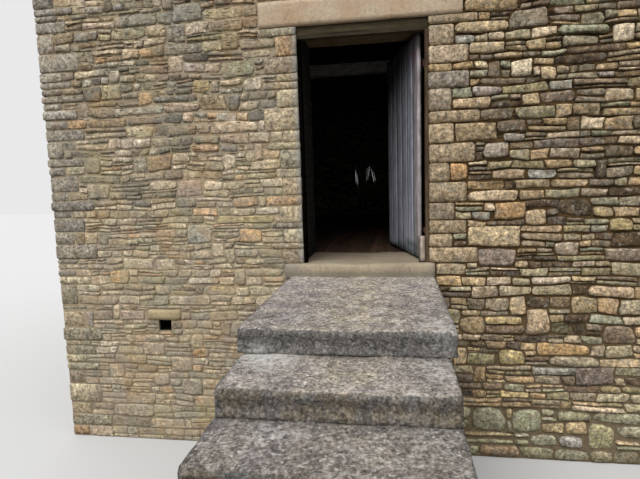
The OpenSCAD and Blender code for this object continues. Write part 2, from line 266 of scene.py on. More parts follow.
def rubble_stone_material(name, reveal=False, smeared=False):
    # Hand-split sandstone: each stone's own tone, mottled, with thin beds, pale lichen and dark specks;
    # smeared stones have lime from the joints over their edges, more of it lower down, and dark patches that
    # are painted shade as of hollows; a doorway's have a grey fillet of mortar on the left, and painted shade
    # on its cheeks
    made, put, where = new_material(name, 0.92, 0.2)
    mottle = put("noise", where, per(70), 5, 0.62)
    grain = put("noise", where, per(5), 3, 0.7)
    beds = put("noise", put("mapping", where, (per(90), per(90), per(9))), 1.0, 3, 0.6)
    rows = ((mottle, 0.32, 0.68, 0.58, 1.38), (beds, 0.3, 0.7, 0.78, 1.16),
            (put("noise", where, per(32), 4, 0.7), 0.37, 0.63, 0.46, 1.54),
            (put("noise", where, per(15), 3, 0.65), 0.36, 0.64, 0.68, 1.34), (grain, 0.28, 0.72, 0.72, 1.26),
            (put("noise", where, per(1400), 2, 0.5), 0.35, 0.65, 0.86, 1.1))
    shade = reduce(partial(put, "times"), [put("range", *row) for row in rows])
    tone = put("stored", attribute_name="tone")["Color"]
    colour = put("tint", 1.0, tone, put("grey", shade, shade, shade))
    colour = patched(put, where, colour, (120, 4, 0.65, 0.6, 0.50, 0.66, 0.4, "#8a7152"),
                     (95, 4, 0.65, 0.6, 0.52, 0.66, 0.45, "#7f7d74"),
                     (34, 5, 0.7, 0.0, 0.56, 0.66, 0.6, "#beb5a3"),
                     (24, 4, 0.7, 0.5, 0.58, 0.68, 0.7, "#403423"))
    x, y, z = put("axes", where)
    if smeared:
        lime = put("range", put("noise", where, per(80), 5, 0.72, 0.8), 0.45, 0.58)
        lime = put("times", lime, put("range", z, 1.0, 3.4, 0.78, 0.05))
        colour = stained(put, where, put("mix", lime, colour, rgba("#ab9f8b")), 0.4)
        # Dark patches, more of them higher up: painted shade as of hollows between the stones
        hollows = put("noise", put("mapping", where, (per(85), per(85), per(13))), 1.0, 3, 0.6, 0.3)
        hollows = put("plus", hollows, put("range", z, 1.8, 3.8, -0.01, 0.05))
        colour = put("mix", put("range", hollows, 0.61, 0.67, 0.0, 0.8), colour, rgba("#3a3226"))
    if reveal:
        side = put("size", x)
        fillet = put("range", side, HALF_DOOR + 50 * MM, HALF_DOOR + 10 * MM, 0.0, 0.6)
        colour = put("mix", put("times", fillet, put("below", x, 0.0)), colour, rgba("#8f918f"))
        # Painted shade on the cheeks inside the doorway
        shaded_cheek = put("times", put("below", side, HALF_DOOR + 6 * MM), put("range", y, 0.0, 25 * MM))
        colour = put("mix", put("times", shaded_cheek, CHEEK_SHADE_COVER), colour, rgba(CHEEK_SHADE))
    return finished(made, put, colour, (mottle, 7.0), (beds, 2.2), (grain, 1.4))


def mortar_material(name, code, pale, dark, hollow, stains=0.0):
    # Mortar outside, paler at the foot, with painted shade of deep hollows along the beds; on the faces
    # inside the walls, dim rubble with its joints; on the cheeks of openings, painted shade
    made, put, where = new_material(name, 0.95, 0.15)
    lumps = put("noise", where, per(38), 5, 0.65)
    sand = put("noise", where, per(3.5), 3, 0.7)
    x, y, z = put("axes", where)
    broad = put("noise", where, per(420), 3, 0.55)
    colour = put("mix", put("range", broad, 0.4, 0.6), rgba(code), rgba(pale))
    colour = put("mix", put("range", z, 1.5, 0.5, 0.0, 0.6), colour, rgba("#8b7e68"))
    if stains:
        colour = stained(put, where, colour, stains)
    colour = shaded(put, colour, (lumps, 0.3, 0.7, 0.68, 1.16), (sand, 0.3, 0.7, 0.84, 1.12))
    # Dark patches along the beds, more of them higher up: painted shade as of deep hollows in the joints
    gaps = put("noise", put("mapping", where, (per(95), per(95), per(17))), 1.0, 4, 0.6, 0.4)
    gaps = put("plus", gaps, put("range", z, 1.2, 3.6, -0.05, 0.085))
    colour = put("mix", put("range", gaps, 0.66 - hollow, 0.72 - hollow, 0.0, 0.88), colour, rgba(dark))
    # Inside, stones about 240 mm long and 80 mm high
    laid = put("mapping", where, (per(240), per(240), per(80)))
    hue = put("channels", put("cells", laid, 1.0)["Color"])[0]
    joint = put("range", put("cell_edge", laid, 1.0), 0.03, 0.09)
    inner = shaded(put, put("mix", hue, rgba("#5f574d"), rgba("#7b7263")), (lumps, 0.3, 0.7, 0.6, 1.15))
    inner = put("mix", joint, rgba("#2c251d"), inner)
    across = put("below", put("size", x), INNER_X + 5 * MM)
    depth = put("times", put("above", y, WALL_T - 5 * MM), put("below", y, BACK_Y + 5 * MM))
    inside = put("times", across, depth)
    # Painted shade on the cheeks inside the openings
    shaded_cheek = put("times", put("range", y, 30 * MM, 45 * MM), put("below", y, WALL_T - 5 * MM))
    colour = put("mix", inside, colour, inner)
    cheek_shade_by = reduce(partial(put, "times"), (shaded_cheek, across, CHEEK_SHADE_COVER))
    colour = put("mix", cheek_shade_by, colour, rgba(CHEEK_SHADE))
    inner_joint = put("times", joint, inside)
    return finished(made, put, colour, (lumps, 9.0), (gaps, 5.0), (sand, 1.6), (inner_joint, 16.0))


def dressed_stone_material(name, pale, dim, painted_shade, skew=0.0, foot=False):
    # Sawn and tooled sandstone: softly clouded, with stains and fine pitting, and darkened with painted shade
    # between two depths into the building; at the foot of its face a darker band, and dull ends
    made, put, where = new_material(name, 0.86, 0.25)
    fine = put("noise", where, per(24), 5, 0.66)
    broad = put("noise", where, per(380), 5, 0.6)
    colour = put("mix", put("range", broad, 0.35, 0.65), rgba(dim), rgba(pale))
    colour = shaded(put, colour, (fine, 0.3, 0.7, 0.82, 1.12))
    colour = patched(put, where, colour, (85, 4, 0.65, 0.5, 0.55, 0.7, 0.45, "#7c6c58"))
    x, y, z = put("axes", where)
    if foot:
        ends = put("range", put("size", x), HALF_DOOR - 30 * MM, HALF_DOOR + 70 * MM, 0.0, 0.65)
        colour = put("mix", ends, colour, rgba("#8d867b"))
        # A darker band low on the face, just above the landing
        level = put("plus", z, put("times", put("minus", fine, 0.5), 60 * MM))
        low_band = put("times", put("range", level, LANDING_Z + 70 * MM, LANDING_Z + 30 * MM, 0.0, 0.66),
                   put("range", level, LANDING_Z, LANDING_Z + 20 * MM, 0.4, 1.0))
        colour = put("mix", low_band, colour, rgba("#69665a"))
    # Painted shade, deeper into the building
    depth = put("minus", y, put("times", x, skew))
    inner = put("times", put("range", depth, *painted_shade), put("below", depth, BACK_Y + 20 * MM))
    colour = put("mix", put("times", inner, 0.88), colour, rgba("#3a2820"))
    return finished(made, put, colour, (fine, 3.0), (put("noise", where, per(3), 2, 0.7), 0.8))


def step_concrete_material(settings):
    # Rough-cast concrete, worn down to its gravel, with pale lichen on edges, dark moss on risers, and
    # painted shade drawn as moss at the back of the lower treads
    made, put, where = new_material("concrete cast rough and worn", 0.93, 0.2)
    read = put("stored", attribute_name="marks")
    # The first mark holds moss and painted shade together
    moss_and_shade_at, lichen_at, worn_at = put("channels", read["Color"])
    spots = put("noise", where, per(60), 6, 0.7, 0.8)
    grit = put("noise", where, per(26), 6, 0.75)
    blotch = put("noise", where, per(150), 5, 0.62, 0.4)
    broad = put("noise", where, per(240), 4, 0.6)
    colour = put("mix", put("range", broad, 0.38, 0.62), rgba("#7f7877"), rgba(settings.concrete))
    warm = put("range", put("noise", where, per(110), 4, 0.6), 0.35, 0.6)
    colour = put("mix", put("times", put("times", worn_at, warm), 0.6), colour, rgba("#a39780"))
    colour = shaded(put, colour, (blotch, 0.36, 0.64, 0.74, 1.26), (spots, 0.36, 0.64, 0.74, 1.26),
                    (read["Alpha"], 0.0, 1.0, 0.0, BRIGHTEST))
    moss = put("plus", moss_and_shade_at, put("times", put("minus", spots, 0.5), 1.1))
    moss = put("range", moss, 0.2, 0.7, 0.0, 0.88)
    brown = put("times", put("range", blotch, 0.42, 0.6), worn_at)
    colour = put("mix", moss, colour, put("mix", brown, rgba(settings.moss), rgba("#5c5344")))
    # Gravel in the concrete, about 19 mm across: each pebble's own shade, and some that are bare
    pebbles = put("cells", where, per(19))
    bare_by, tone_by, shade_by = put("channels", pebbles["Color"])
    sharp = put("noise", where, per(13), 4, 0.75)
    colour = shaded(put, colour, (grit, 0.35, 0.65, 0.5, 1.46), (sharp, 0.36, 0.64, 0.62, 1.4),
                    (shade_by, 0.0, 1.0, 0.7, 1.28))
    bare = put("times", put("above", bare_by, 0.70), put("range", pebbles["Distance"], 0.5, 0.3))
    showing = put("times", bare, put("range", moss, 0.0, 0.8, 0.6, 0.2))
    colour = put("mix", showing, colour, put("mix", tone_by, rgba("#4d4742"), rgba("#cfc9bf")))
    lichen = put("range", put("plus", spots, put("times", lichen_at, 0.3)), 0.54, 0.84, 0.0, 0.9)
    kept = (lichen, put("range", grit, 0.36, 0.56, 0.3, 1.0),
            put("range", put("minus", moss, lichen_at), 0.0, 0.8, 1.0, 0.2))
    colour = put("mix", reduce(partial(put, "times"), kept), colour, rgba(settings.lichen))
    colour = patched(put, where, colour, (12, 4, 0.7, 0.0, 0.38, 0.30, 0.7, "#4a4540"))
    return finished(made, put, colour, (grit, 7.0), (bare, 2.5), (put("noise", where, per(5), 3, 0.7), 2.0))


def wood_material(name, code, pale, dark, along, fine=1.0, toned=False, folded=False, specular=0.12):
    # Sawn timber: long grain, darker checks and paler worn streaks; "along" is the grain's way, and folded
    # wood follows the two slopes of the roof
    made, put, where = new_material(name, 0.85, specular)
    if folded:
        x, y, z = put("axes", where)
        where = put("mapping", put("point", put("size", x), y, z), (1, 1, 1), (0, PITCH, 0))

    def streaks(across, length, *noise_values):
        scale = tuple(length if axis == along else across for axis in "XYZ")
        return put("noise", put("mapping", where, scale), 1.0, *noise_values)

    across, length = per(11 * fine), per(420)
    grain = streaks(across, length, 5, 0.62, 0.5)
    wide = streaks(across / 5, length / 5, 3, 0.55, 0.4)
    worn = streaks(per(38), per(130), 5, 0.65, 0.3)
    check = put("range", streaks(across * 1.3, length * 0.5, 2, 0.5, 0.3), 0.64, 0.70, 0.0, 0.8)
    colour = put("mix", put("range", wide, 0.35, 0.65), rgba(code), rgba(pale))
    if toned:
        colour = put("tint", 1.0, colour, put("stored", attribute_name="tone")["Color"])
    colour = shaded(put, colour, (grain, 0.3, 0.7, 0.74, 1.18), (worn, 0.36, 0.64, 0.72, 1.24))
    colour = put("mix", check, colour, rgba(dark))
    return finished(made, put, colour, (grain, 1.6), (check, -2.0))


def slate_material(name, code, moss):
    # Riven slate or fired tile: each piece's own tone, cleft ripples, moss and pale spots
    made, put, where = new_material(name, 0.7, 0.4)
    cleft = put("noise", where, per(60), 5, 0.6, 0.6)
    colour = put("tint", 1.0, rgba(code), put("stored", attribute_name="tone")["Color"])
    colour = shaded(put, colour, (cleft, 0.3, 0.7, 0.8, 1.15))
    colour = patched(put, where, colour, (180, 5, 0.7, 0.0, 0.56, 0.68, 0.6, moss),
                     (26, 4, 0.7, 0.0, 0.64, 0.70, 0.6, "#a3a296"))
    return finished(made, put, colour, (cleft, 2.5), (put("noise", where, per(7), 3, 0.6), 0.5))


def iron_material():
    # Wrought iron, hammered and rusted dull brown
    made, put, where = new_material("iron forged and rusted", 0.78, 0.4)
    made.node_tree.nodes["Principled BSDF"].inputs["Metallic"].default_value = 0.2
    rust = put("noise", where, per(22), 5, 0.7)
    colour = put("mix", put("range", rust, 0.35, 0.65), rgba("#3a2c24"), rgba("#6b4630"))
    return finished(made, put, colour, (put("noise", where, per(35), 2, 0.5), 1.5), (rust, 0.6))


def dress(material, *nodes):
    """Gives a material to CAD nodes that stay as they are."""
    for name in nodes:
        mesh = frame["nodes"][name].data
        mesh.materials.clear()
        mesh.materials.append(material)


# Meshes

def placed(name, data):
    """A new object in the scene."""
    made = bpy.data.objects.new(name, data)
    bpy.context.scene.collection.objects.link(made)
    return made


def piece(name, mesh, material, body=BODY, replaces=()):
    """Puts a finished mesh into the scene as a piece of the object."""
    made = placed(name, mesh)
    mesh.materials.append(material)
    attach(made, body)
    if replaces:
        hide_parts(*replaces)


def shape_of(bm):
    """Points and faces of a bmesh, which is then freed."""
    bm.verts.index_update()
    points = np.array([v.co[:] for v in bm.verts])
    faces = [tuple(v.index for v in f.verts) for f in bm.faces]
    bm.free()
    return points, faces


def joined(name, faces, points, tones, smooth=True, flip=False, shade=1.0):
    """One mesh of many copies of a shape. Points are copies by vertices by 3, tones copies by 3.
    The shade of each vertex of the shape, which for stones is painted light and shade, multiplies the tones."""
    copies, size = points.shape[:2]
    if flip:
        faces = [f[::-1] for f in faces]
    mesh = bpy.data.meshes.new(name)
    every = [tuple(i + size * k for i in f) for k in range(copies) for f in faces]
    mesh.from_pydata(points.reshape(-1, 3).tolist(), [], every)
    colours = np.ones((copies, size, 4), np.float32)
    colours[..., :3] = np.asarray(tones)[:, None, :] * np.broadcast_to(shade, (size,))[None, :, None]
    mesh.attributes.new("tone", "FLOAT_COLOR", "POINT").data.foreach_set("color", colours.ravel())
    mesh.polygons.foreach_set("use_smooth", [smooth] * len(mesh.polygons))
    mesh.update()
    return mesh


BEVEL = 0.2


def bevelled_cube():
    """A cube from -1 to 1 with bevelled edges: 26 faces."""
    bm = bmesh.new()
    bmesh.ops.create_cube(bm, size=2)
    bmesh.ops.bevel(bm, geom=list(bm.edges), offset=BEVEL, offset_type="OFFSET", segments=1,
                    profile=0.5, affect="EDGES", material=-1)
    return shape_of(bm)


def slabs(shape, low, high, radius):
    """Copies of the bevelled cube between many low and high corners, with edges of one radius."""
    half = (high - low)[:, None, :] / 2
    part = shape[None, :, :]
    inset = (1 - np.abs(part)) / BEVEL * radius
    return (high + low)[:, None, :] / 2 + np.sign(part) * (half - np.minimum(inset, half))


def gridded_box(low, high, cell):
    """A closed box with a grid of about that spacing on its faces."""
    low, high = Vector(low), Vector(high)
    size = high - low
    bm = bmesh.new()
    bmesh.ops.create_cube(bm, size=1)
    bmesh.ops.scale(bm, verts=bm.verts, vec=size)
    bmesh.ops.translate(bm, verts=bm.verts, vec=(low + high) / 2)
    for axis in range(3):
        cuts = max(0, round(size[axis] / cell[axis]) - 1)
        across = [e for e in bm.edges
                  if abs(e.verts[0].co[axis] - e.verts[1].co[axis]) > size[axis] * 0.9]
        if cuts:
            bmesh.ops.subdivide_edges(bm, edges=across, cuts=cuts, use_grid_fill=True)
    return bm


def rounded(point, low, high, radius):
    """A point of a box moved onto the box with rounded edges, and the way out there."""
    inner = Vector([min(max(point[i], low[i] + radius), high[i] - radius) for i in range(3)])
    out = point - inner
    if out.length < 1e-9:
        return point, Vector((0, 0, 0))
    return (inner + out.normalized() * min(out.length, radius), out.normalized())


def share(value):
    """A number kept between 0 and 1."""
    return min(1.0, max(0.0, value))


def lumpy(point, size, seed):
    """Noise from about -1 to 1 with features of that size in millimetres."""
    return noise.noise(point * per(size) + Vector((seed, seed * 1.7, 0)))


# How far from its middle a threshold is worn
WORN_REACH = 0.28


def dressed_block(low, high, cell, radius, swell, seed, hollow=0.0):
    """A tooled stone: rounded edges, soft lumps, and a hollow worn in its top."""
    low, high = Vector(low), Vector(high)
    bm = gridded_box(low, high, (cell, cell, cell))
    middle = (low + high) / 2
    for v in bm.verts:
        place = v.co.copy()
        new, out = rounded(place, low, high, radius * (1 + 0.5 * lumpy(place, 130, seed)))
        new += out * (swell * lumpy(place, 160, seed) + swell * 0.5 * lumpy(place, 45, seed + 3))
        if hollow and out.z > 0.5:
            new.z -= hollow * math.exp(-((place.x - middle.x) / WORN_REACH) ** 2)
        v.co = new
    return bm


def to_mesh(name, bm, smooth=True):
    mesh = bpy.data.meshes.new(name)
    for f in bm.faces:
        f.smooth = smooth
    bm.to_mesh(mesh)
    bm.free()
    return mesh


# Masonry

# Each face of the masonry: the axis that runs along it, where it lies, and which way is out
FACES = {
    "front": ("X", 0.0, -1),
    "back": ("X", DEPTH, 1),
    "left": ("Y", -HALF_W, -1),
    "right": ("Y", HALF_W, 1),
    "reveal_left": ("Y", -HALF_DOOR, 1),
    "reveal_right": ("Y", HALF_DOOR, -1),
}
STONE_SIDES = 12
STAIR_PROUD = 14 * MM
# The thinnest strip and the shortest stone that a course lays, and the least length and height that is kept
THIN = 24 * MM
SHORTEST = 70 * MM
LEAST_LENGTH, LEAST_HEIGHT = 34 * MM, 18 * MM
# The range of the stones' lengths and their spread, and how near joints of two courses may come
STONE_LENGTHS = (0.085, 0.42)
LENGTH_SPREAD = 0.42
JOINT_NEAR, JOINT_SHIFT = 28 * MM, 32 * MM
JOINT_LEAN = 7 * MM
# The largest place that a stone through two courses fills
TALL_LENGTH, TALL_HEIGHT = 0.30, 0.165
# How far beds stray from level: a long swing and a short one
BED_SWING, BED_JOG = 28 * MM, 12 * MM
# Wave lengths that stones' edges wander by, and how far they do along the wall and upwards
EDGE_WAVES = (0.47, 0.33, 0.24, 0.19, 0.15, 0.12)
EDGE_WANDER = (3.4 * MM, 3.0 * MM)
# Tones: how much painted shade dims a stone that is set back, and the palest that any is
SET_BACK_SHADE, PALEST = 0.5, 0.6
# The highest corner stone that spans two courses
HIGHEST_BLOCK = 0.2
# Depths of a stone's root and of the rim at its joints, and how rough its face is
ROOT, RIM, ROUGH = 45 * MM, 5 * MM, 2.2 * MM

# Tones of the stones, with how often each comes
BUFF_WALL = [("#a9997e", 6), ("#99907b", 4), ("#beb194", 3), ("#91836f", 2.5), ("#a88c6c", 1.4),
             ("#7b7365", 1.3), ("#a0967a", 2)]
BUFF_TOP = [("#a3937b", 6), ("#8f8a7e", 4), ("#c0b193", 4), ("#8a7c6c", 2.5), ("#a88b6a", 1.5),
            ("#75716a", 2.2), ("#9c9273", 1.5)]
BARE_WALL = [("#a08c6e", 5), ("#90866f", 3.5), ("#6e6152", 1.8), ("#948673", 3.2), ("#a08967", 1.5),
             ("#bba98b", 1.6), ("#675848", 2), ("#83785c", 1.6), ("#8a8873", 0.9), ("#4f4233", 1.3),
             ("#52473f", 0.8)]
FOOT_WALL = [("#83806a", 4), ("#8f8974", 3), ("#9b8a6b", 2.5), ("#7a745e", 3), ("#989082", 1.5)]
CORNER_TOP = [("#988f81", 4), ("#928b80", 3), ("#a09683", 2), ("#8f8576", 1.5)]
JAMB_RIGHT = [("#99876d", 4), ("#90826f", 2), ("#7e7468", 1.6), ("#aa926c", 1.6), ("#7a6b56", 1.8),
              ("#a18f77", 2)]
MIXED_WALL = [("#a08f74", 6), ("#8f8772", 4), ("#b3a487", 2), ("#7b705c", 2.4), ("#a08966", 1.3),
              ("#665b4a", 1.4), ("#948e80", 1.6)]
STAIR_WALL = [("#8a8270", 4), ("#77705c", 3), ("#99907d", 2), ("#6c655a", 2)]

# Stones of the front that catch the eye: middle, height above the ground, length and height in millimetres,
# and a tone by name
NOTED_TONES = {"cream": "#bdae93", "buff": "#a89579", "yellow": "#aa9870", "orange": "#ab8b64",
               "brown": "#8a785f", "olive": "#8b8468", "moss": "#8a8974", "grey": "#8f8b83",
               "slate": "#7e7e79", "lilac": "#948a80", "plum": "#766a61", "rose": "#a08c7b"}
NOTED = (
    (870, 3720, 230, 110, "buff"), (1590, 3750, 150, 90, "plum"), (1750, 3750, 160, 80, "olive"),
    (1730, 3540, 380, 80, "moss"), (2020, 3530, 160, 100, "cream"), (800, 3590, 230, 70, "grey"),
    (930, 3460, 440, 40, "buff"), (1280, 3330, 170, 80, "cream"), (1910, 3240, 120, 110, "lilac"),
    (1010, 3130, 220, 50, "lilac"), (1580, 3150, 170, 80, "grey"), (1770, 3000, 200, 130, "brown"),
    (1390, 2990, 310, 90, "olive"), (700, 3010, 210, 110, "orange"), (850, 2830, 500, 150, "brown"),
    (1220, 2800, 180, 130, "lilac"), (1090, 2670, 190, 100, "lilac"), (1550, 2690, 340, 50, "plum"),
    (2010, 3060, 220, 50, "buff"), (1820, 2830, 170, 40, "cream"), (730, 2530, 270, 120, "orange"),
    (1190, 2440, 260, 70, "buff"), (1450, 2430, 220, 60, "grey"), (740, 2180, 290, 200, "brown"),
    (980, 2140, 160, 90, "grey"), (1200, 2180, 240, 160, "orange"), (1400, 2100, 180, 110, "buff"),
    (2050, 2050, 180, 130, "yellow"), (670, 1970, 150, 170, "buff"), (1060, 1960, 470, 160, "buff"),
    (1030, 1790, 440, 130, "plum"), (1460, 1980, 320, 80, "brown"), (1540, 1590, 310, 80, "cream"),
    (2010, 1480, 340, 110, "buff"), (1760, 1790, 360, 60, "olive"), (1890, 2430, 180, 70, "plum"),
    (1160, 1230, 300, 120, "yellow"), (1440, 1240, 190, 180, "buff"), (910, 1220, 210, 120, "brown"),
    (1110, 1030, 170, 110, "brown"), (1240, 910, 210, 130, "yellow"), (980, 900, 240, 130, "olive"),
    (1650, 1010, 420, 100, "orange"), (1580, 790, 360, 110, "grey"), (1910, 770, 300, 100, "plum"),
    (1270, 600, 250, 110, "yellow"), (1050, 360, 300, 170, "moss"), (1370, 340, 240, 180, "moss"),
    (1510, 200, 210, 140, "moss"), (1730, 210, 220, 130, "grey"), (1980, 240, 220, 140, "olive"),
    (1150, 60, 330, 190, "brown"), (-1420, 3820, 210, 140, "cream"), (-1160, 3850, 300, 120, "buff"),
    (-1820, 3760, 200, 110, "cream"), (-1620, 3780, 190, 110, "grey"), (-1010, 3980, 200, 70, "cream"),
    (-2480, 3840, 230, 100, "slate"), (-2070, 3860, 330, 90, "moss"), (-2480, 3500, 300, 60, "cream"),
    (-1840, 3500, 270, 120, "rose"), (-1080, 3460, 300, 110, "moss"), (-900, 3600, 250, 100, "cream"),
    (-1710, 3190, 350, 60, "slate"), (-720, 3070, 250, 100, "orange"), (-1130, 2990, 450, 40, "cream"),
    (-770, 2930, 170, 70, "orange"), (-1390, 2900, 260, 110, "moss"), (-1130, 2890, 260, 90, "rose"),
    (-2340, 3070, 420, 90, "brown"), (-1410, 3330, 160, 80, "yellow"), (-840, 3470, 150, 50, "orange"),
    (-740, 2690, 280, 100, "buff"), (-2540, 4020, 170, 70, "slate"), (-1580, 2440, 260, 110, "rose"),
    (-1350, 2470, 160, 60, "cream"), (-1060, 2320, 220, 70, "orange"), (-1030, 1990, 210, 110, "orange"),
    (-1510, 2010, 250, 170, "grey"), (-2140, 1750, 310, 80, "cream"), (-1870, 1750, 190, 60, "cream"),
    (-2340, 1620, 190, 190, "orange"), (-2020, 1570, 280, 100, "moss"), (-2240, 1230, 250, 100, "rose"),
    (-1550, 1260, 190, 80, "grey"), (-2810, 970, 250, 170, "grey"), (-2780, 1220, 270, 170, "slate"),
    (-1570, 870, 170, 70, "orange"), (-2290, 820, 320, 130, "yellow"), (-1940, 500, 160, 90, "orange"),
    (-1350, 1500, 310, 110, "yellow"), (-1080, 2140, 570, 30, "yellow"),
)


def slope_reach(z):
    """How far from the middle a level of a gable meets the slopes."""
    return HALF_W - (z - EAVES_Z) / RISE


def under_slope(quad):
    """Corners of a gable's stone, kept inside the two slopes."""
    for point in quad:
        reach = slope_reach(point[1]) - 8 * MM
        point[0] = max(-reach, min(reach, point[0]))
    return quad


def stone_shape(sides):
    """A stone seen from outside: a closed drum with a shoulder and a flatter middle."""
    bm = bmesh.new()
    bmesh.ops.create_cone(bm, cap_ends=True, cap_tris=False, segments=sides, radius1=1, radius2=1, depth=1)
    face = max(bm.faces, key=lambda f: f.calc_center_median().z)
    for level in (1, 2):
        bmesh.ops.inset_region(bm, faces=[face], thickness=0.25)
        bmesh.ops.translate(bm, verts=list(face.verts), vec=(0, 0, 0.5))
    points, faces = shape_of(bm)
    ring = np.rint((points[:, 2] + 0.5) * 2).astype(int)
    ring = np.where(ring == 0, 0, ring - 1)
    return np.arctan2(points[:, 1], points[:, 0]), ring, faces


class Wall:
    """Collects the stones of one face, course by course."""

    def __init__(self, face, low, high, openings, rng, seed, sunk=1.0):
        self.face, self.low, self.high = face, low, high
        self.openings, self.rng, self.seed = openings, rng, seed
        self.sunk = sunk
        self.stones = []
        self.taken = []
        self.noted = []
        self.last_joints = []

    def wobble(self, u, z, bed):
        """How far a bed strays from level at one place; none at corners and openings."""
        calm = min(1.0, z / 0.2, abs(u - self.low) / 0.45, abs(self.high - u) / 0.45)
        for a, b, c, d in self.openings:
            away = max(a - u, u - b, c - z, z - d, 0.0)
            calm = min(calm, away / 0.22)
        swing = BED_SWING * noise.noise(Vector((u * 1.5, bed * 0.4, self.seed)))
        return calm * (swing + BED_JOG * noise.noise(Vector((u * 5.5, bed * 0.8, self.seed + 5))))

    def warp(self, plane):
        """A smooth shift of the points of a face, so that neighbouring stones' edges wander together."""
        u, z = plane[..., 0], plane[..., 1]
        calm = np.minimum(z / 0.06, np.minimum(u - self.low, self.high - u) / 0.08)
        slope = (slope_reach(z) - np.abs(u)) / 0.08
        calm = np.minimum(calm, np.where(z > EAVES_Z - 0.05, slope, 1))
        for a, b, c, d in self.openings:
            away = np.maximum(np.maximum(a - u, u - b), np.maximum(c - z, z - d))
            calm = np.minimum(calm, away / 0.06)
        calm = np.clip(calm, 0, 1)
        draw = np.random.default_rng(self.seed + 900)
        shift = np.zeros_like(plane)
        for wave in EDGE_WAVES:
            for axis, size in enumerate(EDGE_WANDER):
                turn, start = draw.uniform(0, 2 * math.pi, 2)
                phase = (u * math.cos(turn) + z * math.sin(turn)) * 2 * math.pi / wave + start
                shift[..., axis] += size * np.sin(phase) * calm
        return plane + shift

    def free(self, u0, u1, z0, z1):
        """The parts of a strip outside the openings and the stones that reach up into it."""
        parts = [(u0, u1, z0, z1)]
        for a, b, c, d in self.openings + self.noted + self.taken:
            kept = []
            for p0, p1, q0, q1 in parts:
                if p1 <= a or p0 >= b or q1 <= c + MM or q0 >= d - MM:
                    kept.append((p0, p1, q0, q1))
                    continue
                kept.append((p0, a, q0, q1))
                kept.append((b, p1, q0, q1))
                kept.append((max(p0, a), min(p1, b), q0, c))
                kept.append((max(p0, a), min(p1, b), d, q1))
            parts = [p for p in kept if p[1] - p[0] > 45 * MM and p[3] - p[2] > THIN]
        return parts

    def cuts(self, p0, p1, height, style, z0):
        """Where the joints of a strip of a course fall, its ends included."""
        cuts = [p0]
        while p1 - cuts[-1] > 1e-6:
            shape = math.log(style(cuts[-1], z0)["aspect"])
            length = height * self.rng.lognormvariate(shape, LENGTH_SPREAD)
            after = cuts[-1] + min(STONE_LENGTHS[1], max(STONE_LENGTHS[0], length))
            near = [j for j in self.last_joints if abs(j - after) < JOINT_NEAR]
            if near:
                after = near[0] + JOINT_SHIFT
            cuts.append(p1 if p1 - after < SHORTEST else after)
        return cuts

    def course(self, bed, z0, z1, z2, ends, style):
        """Lays one course between its beds; z2 is the next bed up."""
        joints, next_taken = [], []
        for p0, p1, q0, q1 in self.free(*ends, z0, z1):
            cuts = self.cuts(p0, p1, q1 - q0, style, z0)
            joints += cuts[1:-1]
            lean = [0.0] + [self.rng.uniform(-JOINT_LEAN, JOINT_LEAN) for _ in cuts[2:]] + [0.0]
            on_bed, under_bed = abs(q0 - z0) < 1e-9, abs(q1 - z1) < 1e-9
            for i, (a, b) in enumerate(zip(cuts, cuts[1:])):
                look = style((a + b) / 2, z0)
                low = [q0 + (self.wobble(u, q0, bed) if on_bed else 0) for u in (a, b)]
                top, top_bed = q1, bed + 1
                tall = (under_bed and z2 is not None and b - a < TALL_LENGTH and z2 - q0 < TALL_HEIGHT
                        and self.rng.random() < look["tall"]
                        and self.free(a, b, z1, z2) == [(a, b, z1, z2)])
                if tall:
                    top, top_bed = z2, bed + 2
                    next_taken.append((a, b, z1, z2))
                high = [top + (self.wobble(u, top, top_bed) if under_bed else 0) for u in (a, b)]
                quad = [[a - lean[i], low[0]], [b - lean[i + 1], low[1]],
                        [b + lean[i + 1], high[1]], [a + lean[i], high[0]]]
                if top > EAVES_Z + MM:
                    quad = under_slope(quad)
                self.lay(quad, look, tall)
        self.taken = next_taken
        self.last_joints = joints

    def set_noted(self, beds, rows, style):
        """Sets single stones between the beds that are nearest to their places, clear of each other."""
        levels = np.array(beds)
        for x, z, length, height, tone in rows:
            a, b = (x - length / 2) * MM, (x + length / 2) * MM
            k0 = int(np.abs(levels - (z - height / 2) * MM).argmin())
            k1 = max(k0 + 1, int(np.abs(levels - (z + height / 2) * MM).argmin()))
            for c, d, e, f in self.openings + self.noted:
                if beds[k0] < f - MM and beds[k1] > e + MM and a < d and b > c:
                    a, b = (d, b) if c + d < a + b else (a, c)
            if b - a < 90 * MM or beds[k1] > EAVES_Z:
                continue
            self.noted.append((a, b, beds[k0], beds[k1]))
            own = dict(style((a + b) / 2, beds[k0]), tones=[(NOTED_TONES[tone], 1)], vary=(0.9, 1.12),
                       shy=0.0)
            corners = ((a, k0), (b, k0), (b, k1), (a, k1))
            self.keep([[u, beds[k] + self.wobble(u, beds[k], k)] for u, k in corners], own)

    def lay_all(self, shared, style):
        """Lays every course of a gabled face, from the ground to the ridge."""
        for k, z0, z1, z2 in shared.courses():
            if z0 < EAVES_Z - MM:
                above = z2 if z2 and z2 <= EAVES_Z + MM else None
                self.course(k, z0, z1, above, (self.low, self.high), style)
            else:
                self.course(k, z0, z1, None, (-slope_reach(z0), slope_reach(z0)), style)

